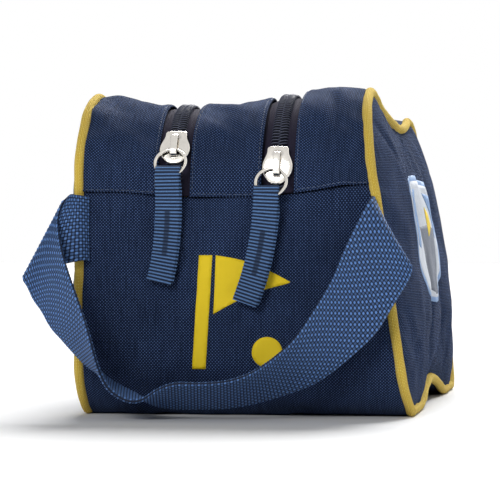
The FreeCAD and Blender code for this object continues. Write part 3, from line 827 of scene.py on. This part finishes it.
def side_panel(side):
    """The padded, crowned side, drawn in at its piped rim."""
    hand = -1 if side == "left" else 1
    sink = side_sink(side)
    rim = side_loop(sink, 1.2, 330)
    loops = [side_loop(sink, inset, 330 - 8 * k) for k, inset in enumerate((2.4, 4.2, 6.8, 10.2))]
    flat, faces = cut_cloth(rim, loops, 4.6, 13.0)
    d = distance_to(flat, rim)
    h = -2.4 * np.exp(-d / 2.2) + 8.5 * (1 - np.exp(-d / 22.0))
    seed = 51 if side == "left" else 61
    h = h + 1.1 * lumps(flat[:, 0], flat[:, 1], seed, 50, 130) * (1 - np.exp(-d / 20))
    points = np.stack([seam_x(side, flat[:, 1]) + hand * h, flat[:, 0], flat[:, 1]], axis=1)
    a, b, c = points[faces[0][:3]]
    if (np.cross(b - a, c - a)[0] > 0) != (hand > 0):
        faces = [face[::-1] for face in faces]
    mesh = cloth_mesh("side_panel_cloth_" + side, points, faces, flat)
    puff(mesh, np.nonzero(d < 3.0)[0], 3.0, 0.012, 22, 5.0)
    mesh = divided(mesh, 1)
    p = read_points(mesh)
    y, z = p[:, 1], p[:, 2]
    d = distance_to(p[:, 1:], side_loop(sink, 1.2, 660))
    rim_run = np.arctan2(z - 90, (y - MID_Y) * 0.55) * 90
    h = 0.55 * lumps(rim_run, d * 0.4, seed + 1, 9, 24) * np.exp(-d / 9) * (1 - np.exp(-d / 1.5))
    h = h + 0.5 * lumps(y, z, seed + 2, 16, 45) * (1 - np.exp(-d / 14))
    h = dented(h, y - MID_Y, z, SIDE_DENTS)
    p[:, 0] += hand * h
    mesh.vertices.foreach_set("co", (p * MM).astype(np.float32).ravel())
    mesh.update()
    panel = place("side_panel_soft_" + side, mesh, NAVY, "bag")
    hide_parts("side_panel_" + side)
    return panel


SIDE_PANELS = {side: side_panel(side) for side in ("left", "right")}


def side_piping(side):
    """Bias-cut cord cover standing out of the side seam all the way round."""
    sink = side_sink(side)
    loop = side_loop(sink, 1.3, 620)
    z = np.maximum(loop[:, 1], PIPING_R + 0.05)
    run = np.arange(len(loop)) * 2 * math.pi / len(loop)
    x = seam_x(side, z) + 0.25 * np.sin(9 * run) + 0.15 * np.sin(23 * run + 1)
    path = np.stack([x, loop[:, 0], z], axis=1)
    build = Build()
    girth = 1 + 0.025 * np.sin(31 * run) + 0.02 * np.sin(57 * run + 2)
    build.sweep(path, side_slope(side), circle(PIPING_R, 16), ring=True, scale=girth)
    cord = build.make("piping_cord_" + side, PIPING, "bag")
    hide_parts("piping_" + side)


def seam_binding(side):
    """Woven tape folded over the raw edges inside the side seam."""
    loop = side_loop(side_sink(side), 8.5, 420)
    path = np.stack([seam_x(side, loop[:, 1], 4.5), loop[:, 0], loop[:, 1]], axis=1)
    run = np.arange(len(loop)) * 2 * math.pi / len(loop)
    build = Build()
    build.sweep(path, side_slope(side), plate(7.0, 1.8, 0.7), ring=True,
                scale=1 + 0.03 * np.sin(41 * run))
    tape = build.make("seam_tape_" + side, BINDING, "bag")
    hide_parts("seam_binding_" + side)


for side_name in ("left", "right"):
    side_piping(side_name)
    seam_binding(side_name)


# ---------------------------------------------------------------- the wall between the compartments
def divider():
    """The lining held tight between the two zips, edge to edge of the shell."""
    rim = side_loop(12.0, 8.0, 200)
    flat, faces = cut_cloth(rim, [], 8.0, 6.0)
    d = distance_to(flat, rim)
    x = -2.0 + 1.6 * lumps(flat[:, 0], flat[:, 1], 71, 60, 120) * (1 - np.exp(-d / 15))
    mesh = cloth_mesh("divider_cloth", np.stack([x, flat[:, 0], flat[:, 1]], axis=1), faces, flat)
    wall = place("compartment_wall", mesh, LINING, "bag")
    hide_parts("compartment_divider")


divider()


# ---------------------------------------------------------------- zips
def on_top(zip_name, s, x_off, h):
    """A point on the zip's arc, s from the end seam, x_off beside it and h proud of it."""
    y, z, ny, nz = top_path(np.float64(ZIPS[zip_name]["sink"]), s)
    x = np.broadcast_to(ZIPS[zip_name]["x"] + np.asarray(x_off, float), np.shape(y))
    return np.stack([x, y + ny * h, z + nz * h + wander(x, y, z)], axis=-1)


def zip_tapes(zip_name):
    """The two woven tapes, dropping under the folded fabric beside the coil."""
    total = top_length(ZIPS[zip_name]["sink"])[-1]
    s = np.linspace(0.5, total - 0.5, 240)[:, None]
    for hand, label in ((-1, "left"), (1, "right")):
        across = np.array([0.7, 1.5, 3.0, 4.5, 6.0, 7.5, 9.0, 10.5, 12.0, 13.0])[None, :]
        h = -1.95 + 0.16 * np.sin((s + 40 * hand) / 6.5) * (across / 13) - 0.06 * across
        below = dip(ZIPS[zip_name]["x"] + hand * across) - ZIPS[zip_name]["sink"]
        h = h - np.maximum(below, 0) * np.clip((across - 4) / 4, 0, 1)
        build = Build()
        points = on_top(zip_name, s + across * 0, hand * across + s * 0, h)
        build.grid(points, s, across, flip=hand < 0)
        tape = build.make("tape_%s_%s" % (zip_name, label), TAPE, "bag")
        solidify(tape, 0.6)
        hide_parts("zip_%s_tape_%s" % (zip_name, label))


def zip_coils(zip_name):
    """The interlocked nylon turns, one bar at a time, alternately from each tape."""
    total = top_length(ZIPS[zip_name]["sink"])[-1]
    shape = [(-0.7, -0.75), (0.2, -0.32), (1.5, -0.18), (2.9, -0.3), (3.9, -0.85), (4.35, -1.7)]
    for hand, label in ((-1, "left"), (1, "right")):
        build = Build()
        rng = np.random.default_rng(81 if hand < 0 else 82)
        for k in range(int((total - 6) / COIL_PITCH)):
            s = 3.0 + COIL_PITCH * (k + (0.5 if hand > 0 else 0.0)) + rng.normal(0, 0.05)
            rise = 0.06 if hand < 0 else 0.26
            path = np.array([on_top(zip_name, s + rise * off, hand * off, h)
                             for off, h in shape])
            build.sweep(path, path[2] - on_top(zip_name, s, 0, -6),
                        circle(COIL_BAR[0], 8, COIL_BAR[1]), scale=[0.55, 0.9, 1.0, 1.0, 0.95, 0.8])
        coil = build.make("coil_%s_%s" % (zip_name, label), COIL, "bag")
        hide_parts("zip_%s_coil_%s" % (zip_name, label))


SLIDER_REST = {"left": 29.0, "right": 15.5}       # up the shoulder from the end seam, degrees
SLIDER_EDGE = [(10.75, 4.4), (10.45, 5.6), (9.8, 6.2), (8.6, 6.35), (7.2, 6.35), (5.4, 6.8),
               (3.4, 7.7), (1.4, 8.5), (-0.6, 8.95), (-2.8, 8.9), (-5.0, 8.2), (-7.0, 6.9),
               (-8.8, 5.2), (-10.0, 3.4), (-10.6, 1.8), (-10.75, 0.9)]


def slider(zip_name):
    """Plated slider: narrow nose, broad rounded tail, crowned top and a bail down its middle."""
    s0 = math.radians(SLIDER_REST[zip_name]) * (SHOULDER_R - ZIPS[zip_name]["sink"])
    section = [(-0.86, 0.95), (-0.97, 1.05), (-1.0, 1.35), (-1.0, 1.85), (-0.975, 2.2),
               (-0.92, 2.45), (-0.84, 2.6), (-0.72, 2.68), (-0.45, 2.82), (-0.2, 2.9), (0, 2.92)]
    section += [(-a, b) for a, b in section[-2::-1]]
    section = np.array(section)
    knots = np.array(SLIDER_EDGE)
    length = np.concatenate([[10.75, 10.7, 10.6, 10.4], np.linspace(10.1, -10.1, 30),
                             [-10.4, -10.6, -10.7, -10.75]])
    wide = np.interp(-length, -knots[:, 0], knots[:, 1])
    ends = np.clip((np.abs(length) - 9.85) / 0.9, 0, 1)
    low = 1 - 0.55 * (1 - np.sqrt(1 - ends ** 2))
    rows = []
    for place_s, w, squeeze in zip(length, wide, low):
        h = 0.95 + (section[:, 1] - 0.95) * squeeze
        rows.append(on_top(zip_name, np.full(len(section), s0 + place_s), section[:, 0] * w, h))
    build = Build()
    rows = [np.repeat(rows[0].mean(axis=0)[None], len(section), axis=0)] + rows
    rows += [np.repeat(rows[-1].mean(axis=0)[None], len(section), axis=0)]
    rows = np.array(rows)
    u = np.concatenate([[11], length, [-11]])[:, None]
    v = np.linspace(0, 40, len(section) + 1)[None, :]
    build.grid(rows, u, v, ring_columns=True, flip=True)
    for lower in (-1, 1):
        wing = [on_top(zip_name, s0 + q, lower * e, 0.3) for q, e in
                ((7.6, 5.75), (5.4, 6.1), (3.4, 6.9), (1.4, 7.7), (-0.8, 8.1), (-3.0, 8.0),
                 (-5.0, 7.3), (-6.8, 6.2))]
        build.sweep(np.array(wing), on_top(zip_name, s0, 0, 1) - on_top(zip_name, s0, 0, 0),
                    plate(1.0, 1.5, 0.4))
    arch = smooth_curve([(6.4, 2.3), (6.25, 3.6), (5.7, 5.2), (4.4, 6.15), (2.0, 6.38),
                         (-1.0, 6.42), (-4.0, 6.35), (-5.6, 5.6), (-6.1, 4.2), (-6.2, 2.4)], 0.45)
    path = np.array([on_top(zip_name, s0 + q, 0, h) for q, h in arch])
    middle = on_top(zip_name, s0, 0, 0.0)
    build.sweep(path, path - middle, plate(4.0, 1.15, 0.42, 4))
    for q in (6.3, -6.2):
        foot = np.array([on_top(zip_name, s0 + q, 0, h) for h in (2.2, 2.7, 3.1)])
        build.sweep(foot, np.array([0, 1.0, 0.3]), plate(4.8, 2.0, 0.6), scale=[1.15, 1.0, 0.8])
    thing = build.make("zip_slider_plated_" + zip_name, NICKEL, "zip_slider_" + zip_name)
    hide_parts("slider_" + zip_name)


JOINTS = {joint["name"]: joint for joint in frame["joints"]}


def ring_places(zip_name):
    """The ring's wire at the slider and at the pull, and the wire's direction there (mm)."""
    bail = np.array(JOINTS["ring_%s_swing" % zip_name]["pos_m"]) / MM
    eye = np.array(JOINTS["tab_%s_swing" % zip_name]["pos_m"]) / MM
    return bail, eye, np.array(JOINTS["ring_%s_swing" % zip_name]["axis"])


def ring(zip_name):
    """The round wire that joins the slider's bail to the pull."""
    bail, eye, axis = ring_places(zip_name)
    middle = (bail + eye) / 2
    down = (eye - bail) / 2
    across = -axis * np.linalg.norm(down)
    turns = np.linspace(0, 2 * math.pi, 72, endpoint=False)[:, None]
    build = Build()
    build.sweep(middle + down * np.cos(turns) + across * np.sin(turns), np.cross(across, down),
                circle(1.0, 14), ring=True)
    thing = build.make("ring_wire_" + zip_name, NICKEL, "ring_" + zip_name)
    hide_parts("pull_ring_" + zip_name)


def ribbon(build, centre, side, up, thickness, u, width, across, top, bottom, crowd=False):
    """A flat strap: side is its whole width at each station, up its outer face; crowd sets the
    columns closer together at the edges, and top and bottom add relief to the two faces."""
    f = np.linspace(-0.5, 0.5, across)
    if crowd:
        f = 0.175 * np.sin(f * math.pi) + 0.65 * f
        f = f / (2 * f[-1])
    v = f * width
    edge = np.clip((np.abs(v) - (width / 2 - 0.7)) / 0.7, 0, 1)
    half = thickness / 2 * np.sqrt(1 - 0.92 * edge ** 2)
    middle = centre[:, None] + side[:, None] * f[:, None]
    upper = middle + up[:, None] * (half + top(u[:, None], v[None, :]))[..., None]
    lower = middle - up[:, None] * (half + bottom(u[:, None], v[None, :]))[..., None]
    points = np.concatenate([upper, lower[:, ::-1]], axis=1)
    v_all = np.concatenate([v, v[::-1], v[:1]])
    build.grid(points, u[:, None], v_all[None, :], ring_columns=True)
    for row, flip in ((0, False), (-1, True)):
        cap = np.stack([upper[row], lower[row]], axis=0)
        build.grid(cap, np.array([[u[row]], [u[row]]]), v[None, :], flip=flip)


PULLS = {
    # (distance down, sideways) of the middle line, below the fold
    "left": [(0, 0.2), (14, 0.3), (30, -0.1), (45, -1.6), (56, -3.6), (62, -5.0)],
    "right": [(0, 0.4), (14, -0.6), (30, -3.0), (45, -6.6), (56, -10.2), (62, -12.4)],
}


def pull(zip_name):
    """Ribbed webbing folded over the ring and stitched; the loop wraps the ring's wire and the rest
    hangs in a fixed curve.
    """
    bail, eye, _ = ring_places(zip_name)
    to_slider = (bail - eye) / np.linalg.norm(bail - eye)
    lean = np.array([0, to_slider[1], to_slider[2]])
    hang = smooth_curve(PULLS[zip_name], 0.5)
    down, sideways = hang[:, 0], hang[:, 1]
    outer = np.array([0, -lean[2], lean[1]])
    loop_middle = eye + lean * 3.9
    reach = 1.85
    front, back = [], []
    for d, x in zip(down, sideways):
        together = min(1.0, d / 13.0)
        offset = reach * (1 - together) + 0.6 * together
        spot = eye + np.array([x, 0, -d]) + np.array([0, 0.9 * (1 - math.exp(-d / 25)), 0])
        upper = max(0.0, 1 - d / 5.0)
        spot = spot + lean * 3.9 * upper * 0.2
        front.append(spot + outer * offset * upper + np.array([0, -offset * (1 - upper), 0]))
        back.append(spot - outer * offset * upper + np.array([0, offset * (1 - upper), 0]))
    turn = [loop_middle + lean * reach * math.sin(a) - outer * reach * math.cos(a)
            + np.array([sideways[0], 0, 0]) for a in np.linspace(0, math.pi, 15)]
    path = resample(np.array(back[::-1][3:] + turn + front), step=0.5)
    run = np.concatenate([[0], np.cumsum(np.linalg.norm(np.diff(path, axis=0), axis=1))])
    crest = run[np.argmax(((path - eye) @ lean))]
    u = run - crest
    along = np.gradient(path, axis=0)
    along = along / np.linalg.norm(along, axis=1)[:, None]
    flat = np.abs(along[:, 2:])
    side = np.array([1.0, 0, 0]) - along * along[:, :1] * flat
    side = side / np.linalg.norm(side, axis=1)[:, None]
    up = np.cross(side, along)
    shift = np.where(u < 0, np.clip(-u - 6, 0, 10) / 10 * 1.0, 0.0)[:, None] * side

    def face(a, v):
        rib = 0.22 * np.abs(np.sin(math.pi * a / RIB_PITCH)) ** 0.7
        slot = (np.clip((SLOT_HALF_LENGTH - np.abs(a - SLOT_MIDDLE)) / 0.8, 0, 1)
                * np.clip((1.75 - np.abs(v)) / 0.4, 0, 1))
        return rib - 0.5 * slot

    def lining(a, v):
        return 0.06 * np.abs(np.sin(math.pi * a / RIB_PITCH)) + 0 * v

    selvedge = PULL_WIDTH - 0.4 + 0.6 * np.abs(np.sin(math.pi * u / RIB_PITCH))[:, None]
    build = Build()
    ribbon(build, path + shift, side * selvedge, up, PULL_WEB, u, PULL_WIDTH, 30, face, lining,
           crowd=True)
    thing = build.make("pull_webbing_" + zip_name, GROSGRAIN, None)
    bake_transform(thing)
    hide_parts("pull_tab_" + zip_name)


for each_zip in ("left", "right"):
    zip_tapes(each_zip)
    zip_coils(each_zip)
    slider(each_zip)
    ring(each_zip)
    pull(each_zip)
    stops = frame["nodes"]["zip_%s_stops" % each_zip]
    stops.data.materials.clear()
    stops.data.materials.append(COIL)


# ---------------------------------------------------------------- the handle
# The webbing's upper and lower edge, from the left seam, over its slanted fold, round the front of
# the bag, over the right fold and into the right seam.
HANDLE = [
    ((-82.5, -149.5, 128), (-82.5, -149.5, 90.5)), ((-87.5, -156.2, 129), (-88, -156.4, 90.5)),
    ((-93, -157, 128.5), (-118, -159, 82)), ((-98, -160, 117), (-116, -162, 76)),
    ((-95, -168, 102), (-112, -163, 68)), ((-88, -183, 88), (-106, -166, 61)),
    ((-81, -192, 74), (-100, -169, 52)), ((-74, -198, 58), (-93, -170, 45)),
    ((-70, -199, 45), (-86, -167, 37)), ((-68, -196, 35), (-80, -161, 30)),
    ((-66, -191, 26), (-75, -155, 26)), ((-62, -189, 18), (-69, -152, 21)),
    ((-55, -188, 13), (-62, -151, 17)), ((-48, -189, 11), (-55, -152, 14)),
    ((-41, -190, 13), (-48, -153, 10)), ((-34, -192, 18), (-40, -156, 7)),
    ((-23, -193, 22), (-29, -158, 6)), ((-9, -194, 22), (-15, -159, 6)),
    ((9, -194, 24), (4, -160, 7)), ((25, -194, 31), (23, -161, 11)),
    ((43, -192, 46), (52, -164, 21)), ((56, -184, 66), (72, -168, 35)),
    ((64, -177, 81), (88, -169, 50)), ((70, -172, 97), (99, -166, 68)),
    ((76, -166, 111), (105, -162, 78)), ((82.5, -158, 125), (108, -161, 87)),
    ((84, -149, 128), (99, -152, 90)), ((81, -143, 129), (90, -143, 91)),
]


def handle():
    """The webbing swept between its two edges and turned over at each side."""
    edges = smooth_curve([upper + lower for upper, lower in HANDLE], 0.6)
    for _ in range(90):
        edges[1:-1] = (edges[:-2] + 2 * edges[1:-1] + edges[2:]) / 4
    centre = (edges[:, :3] + edges[:, 3:]) / 2
    run = np.concatenate([[0], np.cumsum(np.linalg.norm(np.diff(centre, axis=0), axis=1))])
    at = np.arange(0, run[-1], THREAD_PITCH / 2)
    edges = np.stack([np.interp(at, run, edges[:, k]) for k in range(6)], axis=1)
    upper, lower = edges[:, :3], edges[:, 3:]
    centre, side = (upper + lower) / 2, upper - lower
    along = np.gradient(centre, axis=0)
    up = np.cross(side, along)
    for _ in range(4):
        up[1:-1] = (up[:-2] + 2 * up[1:-1] + up[2:]) / 4
    up = up / np.linalg.norm(up, axis=1)[:, None]

    def swell(u, v):
        crown = np.sin(math.pi * v / THREAD_PITCH) * np.sin(math.pi * u / THREAD_PITCH)
        return 0.42 * np.abs(crown) + 0.10 * lumps(u, v, 91, 14, 40)

    build = Build()
    ribbon(build, centre, side, up, STRAP, at, STRAP_THREADS * THREAD_PITCH, 2 * STRAP_THREADS + 1,
           swell, swell)
    thing = build.make("handle_strap", WEBBING, None)
    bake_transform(thing)
    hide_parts("handle_loop", "handle_end_left", "handle_end_right")


handle()


# ---------------------------------------------------------------- topstitching
def stitch_row(build, tree, path, length=2.6, gap=0.5, radius=0.2):
    """Short rounded stitches laid along a path on the fabric."""
    path = resample(np.asarray(path, float), step=0.25)
    stride = int((length + gap) / 0.25)
    take = int(length / 0.25)
    for start in range(0, len(path) - take, stride):
        points, normals = [], []
        for k in np.linspace(start, start + take, 5).astype(int):
            spot, normal, _, _ = tree.find_nearest(Vector(path[k] * MM))
            points.append(np.array(spot) / MM)
            normals.append(np.array(normal))
        points, normals = np.array(points), np.array(normals)
        lift = np.array([-0.22, 0.1, 0.18, 0.1, -0.22])[:, None]
        build.sweep(points + normals * lift, normals, circle(radius, 6),
                    scale=[0.45, 0.95, 1.0, 0.95, 0.45])


def topstitching():
    """Rows along each strip's end seam and beside each zip."""
    tree = surface_of(*STRIPS)
    build = Build()
    left_zip, right_zip = ZIPS["left"]["x"], ZIPS["right"]["x"]
    edges = [(LEFT_SEAM + 4, left_zip - 11), (left_zip + 11, right_zip - 11),
             (right_zip + 11, right_seam(SEAM_Z) - 4)]
    for x0, x1 in edges:
        x = np.linspace(x0, x1, 40)
        sink = dip(x)
        for from_far in (False, True):
            s = top_length(sink)[-1] - STITCH_FROM_SEAM if from_far else STITCH_FROM_SEAM + 0 * x
            y, z, ny, nz = top_path(sink, s)
            stitch_row(build, tree, np.stack([x, y + ny, z + nz + wander(x, y, z)], axis=1))
    for zip_name in ZIPS:
        total = top_length(ZIPS[zip_name]["sink"])[-1]
        for hand in (-1, 1):
            s = np.linspace(4, total - 4, 300)
            stitch_row(build, tree, on_top(zip_name, s, hand * (ZIP_GAP / 2 + STITCH_FROM_FOLD), 1.0))
    build.make("topstitch_rows", THREAD, "bag")


topstitching()


# ---------------------------------------------------------------- prints
def film(name, outline, lay, tree, lift, material, step=2.0):
    """A thin printed shape: outline in its own plane, lay(point) gives a ray onto the fabric."""
    rim = resample(np.array(outline, float), step=step, closed=False)
    rim = np.array([p for k, p in enumerate(rim) if k == 0 or np.linalg.norm(p - rim[k - 1]) > 0.2])
    if np.linalg.norm(rim[0] - rim[-1]) < 0.3:
        rim = rim[:-1]
    flat, faces = cut_cloth(rim, [], step, step * 0.6)
    points = []
    for p in flat:
        origin, ray = lay(p)
        spot, normal, _, _ = tree.ray_cast(Vector(origin) * MM, Vector(ray))
        if normal.dot(Vector(ray)) > 0:
            normal = -normal
        points.append(np.array(spot) / MM + np.array(normal) * lift)
    points = np.array(points)
    a, b, c = points[faces[0][:3]]
    if np.dot(np.cross(b - a, c - a), lay(flat[0])[1]) > 0:
        faces = [face[::-1] for face in faces]
    thing = place(name, cloth_mesh(name, points, faces, flat), material, "bag")
    solidify(thing, 0.12)
    return thing


def closed(points):
    """The outline with its first point repeated."""
    return list(points) + [points[0]]


def end_mark():
    """A golf pennant on its pole over a ball."""
    tree = surface_of(END_PANEL)
    x0, x1, z0, z1 = -33.0, 37.0, 28.0, 94.0

    def lay(p):
        return (p[0], -400.0, p[1]), (0.0, 1.0, 0.0)
    wave = [(x0 + 26 + (x1 - x0 - 26) * t, z1 + 2.5 * math.sin(t * 3.4) - 15 * t)
            for t in np.linspace(0, 1, 12)]
    under = [(x1 - (x1 - x0 - 24.4) * t, z1 - 16 - 18 * t + 2.5 * math.sin(t * 3.2))
             for t in np.linspace(0, 1, 12)]
    shapes = {
        "end_mark_pole": closed([(x0 + 12, z0), (x0 + 20, z0), (x0 + 24, z1), (x0 + 16, z1)]),
        "end_mark_flag": closed(wave + under[1:]),
        "end_mark_ball": closed([(x1 - 14 + 9 * math.cos(a), z0 + 10 + 9 * math.sin(a))
                                 for a in np.linspace(0, 2 * math.pi, 40, endpoint=False)]),
    }
    for name, outline in shapes.items():
        thing = film(name, outline, lay, tree, 0.16, YELLOW)
        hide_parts("end_print")


def shield(scale, y0, z0, half=75.0, tall=76.0):
    """Outline of a shield: slightly arched top, straight sides and two curves to a point."""
    top, shoulder, tip = tall / 2, -tall / 10, -tall / 2
    points = [(-half + 2 * half * t, top + 4 * math.sin(math.pi * t))
              for t in np.linspace(0, 1, 14)]
    points += [(half * math.cos(a), shoulder + (tip - shoulder) * math.sin(a) ** 1.15)
               for a in np.linspace(0.02, math.pi - 0.02, 28)]
    return closed([(y0 + scale * y, z0 + scale * z) for y, z in points])


def side_mark():
    """A shield with two bands and a small flag, generic and without words."""
    tree = surface_of(SIDE_PANELS["right"])
    y0, z0 = -15.0 + MID_Y, 102.0

    def lay(p):
        return (400.0, p[0], p[1]), (-1.0, 0.0, 0.0)
    flag = closed([(y0 - 8, z0 + 22), (y0 + 26, z0 + 13), (y0 - 8, z0 + 3)])
    shapes = [
        ("side_mark_edge", shield(1.0, y0, z0), PALE_BLUE, 0.14, "white_print"),
        ("side_mark_field", shield(0.92, y0, z0), WHITE, 0.24, "white_print"),
        ("side_mark_taper", shield(0.55, y0 + 6, z0 - 12), GREY, 0.34, "white_print"),
        ("side_mark_band", closed([(y0 - 64, z0 + 30), (y0 - 30, z0 + 33), (y0 - 52, z0 - 4),
                                   (y0 - 64, z0 - 2)]), PALE_BLUE, 0.34, "white_print"),
        ("side_mark_band_far", closed([(y0 + 38, z0 + 32), (y0 + 62, z0 + 29), (y0 + 62, z0 + 8),
                                       (y0 + 50, z0 + 2)]), PALE_BLUE, 0.34, "white_print"),
        ("side_mark_flag", flag, YELLOW, 0.44, "yellow_print"),
    ]
    for name, outline, material, lift, slot in shapes:
        thing = film(name, outline, lay, tree, lift, material, step=2.6)
        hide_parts("side_print")


end_mark()
side_mark()


# ---------------------------------------------------------------- floor, light and camera
def stage_floor():
    """A wide sheet of pale paper."""
    look = Look("paper_floor", Roughness=0.75, Specular_IOR_Level=0.2)
    grain = look.noise(look.place, 300.0, 4.0, 0.6)
    paper = look.finish(look.mix(grain, (0.69, 0.69, 0.69), (0.72, 0.72, 0.72)),
                        look.bump(grain, 0.05))
    build = Build()
    far = np.array([[[-9000, -3000, 0], [9000, -3000, 0]], [[-9000, 16000, 0], [9000, 16000, 0]]],
                   float)
    build.grid(far, np.array([[0.0], [1.0]]), np.array([[0.0, 1.0]]))
    floor = build.make("floor", paper, None)


def lamp(name, kind, place_m, aim_m, energy, **settings):
    """A light at one place that shines at another; a sun's place only gives its direction."""
    data = bpy.data.lights.new(name, kind)
    data.energy = energy
    for key, value in settings.items():
        setattr(data, key, value)
    thing = bpy.data.objects.new(name, data)
    thing.location = place_m
    thing.rotation_euler = (Vector(aim_m) - Vector(place_m)).to_track_quat("-Z", "Y").to_euler()
    bpy.context.scene.collection.objects.link(thing)


def studio():
    """White surroundings, three soft lights and the camera."""
    world = bpy.data.worlds.new("studio")
    bpy.context.scene.world = world
    world.use_nodes = True
    tree = world.node_tree
    seen = tree.nodes.new("ShaderNodeBackground")
    seen.inputs[0].default_value = (1, 1, 1, 1)
    seen.inputs[1].default_value = 1.0
    fill = tree.nodes["Background"]
    fill.inputs[0].default_value = (0.93, 0.96, 1, 1)
    fill.inputs[1].default_value = 0.17
    path = tree.nodes.new("ShaderNodeLightPath")
    blend = tree.nodes.new("ShaderNodeMixShader")
    bright = tree.nodes.new("ShaderNodeMath")
    bright.operation = "MULTIPLY_ADD"
    bright.use_clamp = True
    bright.inputs[1].default_value = 0.7
    tree.links.new(path.outputs["Is Glossy Ray"], bright.inputs[0])
    tree.links.new(path.outputs["Is Camera Ray"], bright.inputs[2])
    tree.links.new(bright.outputs[0], blend.inputs[0])
    tree.links.new(fill.outputs[0], blend.inputs[1])
    tree.links.new(seen.outputs[0], blend.inputs[2])
    tree.links.new(blend.outputs[0], tree.nodes["World Output"].inputs[0])
    lamp("overhead", "SUN", (0.12, 1.2, 1.08), (0, 0, 0), 5.8, angle=math.radians(36))
    lamp("side", "SUN", (1.6, 0.3, 0.9), (0, 0, 0), 0.3, angle=math.radians(50))
    lamp("front_box", "AREA", (-0.5, -2.3, 1.15), (0, -0.1, 0.12), 30, shape="RECTANGLE", size=0.9,
         size_y=0.7)
    data = bpy.data.cameras.new("camera")
    data.lens, data.sensor_width = CAMERA["lens"], 36.0
    data.clip_start, data.clip_end = 0.05, 60.0
    camera = bpy.data.objects.new("camera", data)
    camera.location = [c * MM for c in CAMERA["place"]]
    camera.rotation_euler = (math.radians(90), 0, math.radians(CAMERA["azimuth"]))
    bpy.context.scene.collection.objects.link(camera)
    bpy.context.scene.camera = camera
    bpy.context.scene.view_settings.view_transform = "Standard"


stage_floor()
studio()
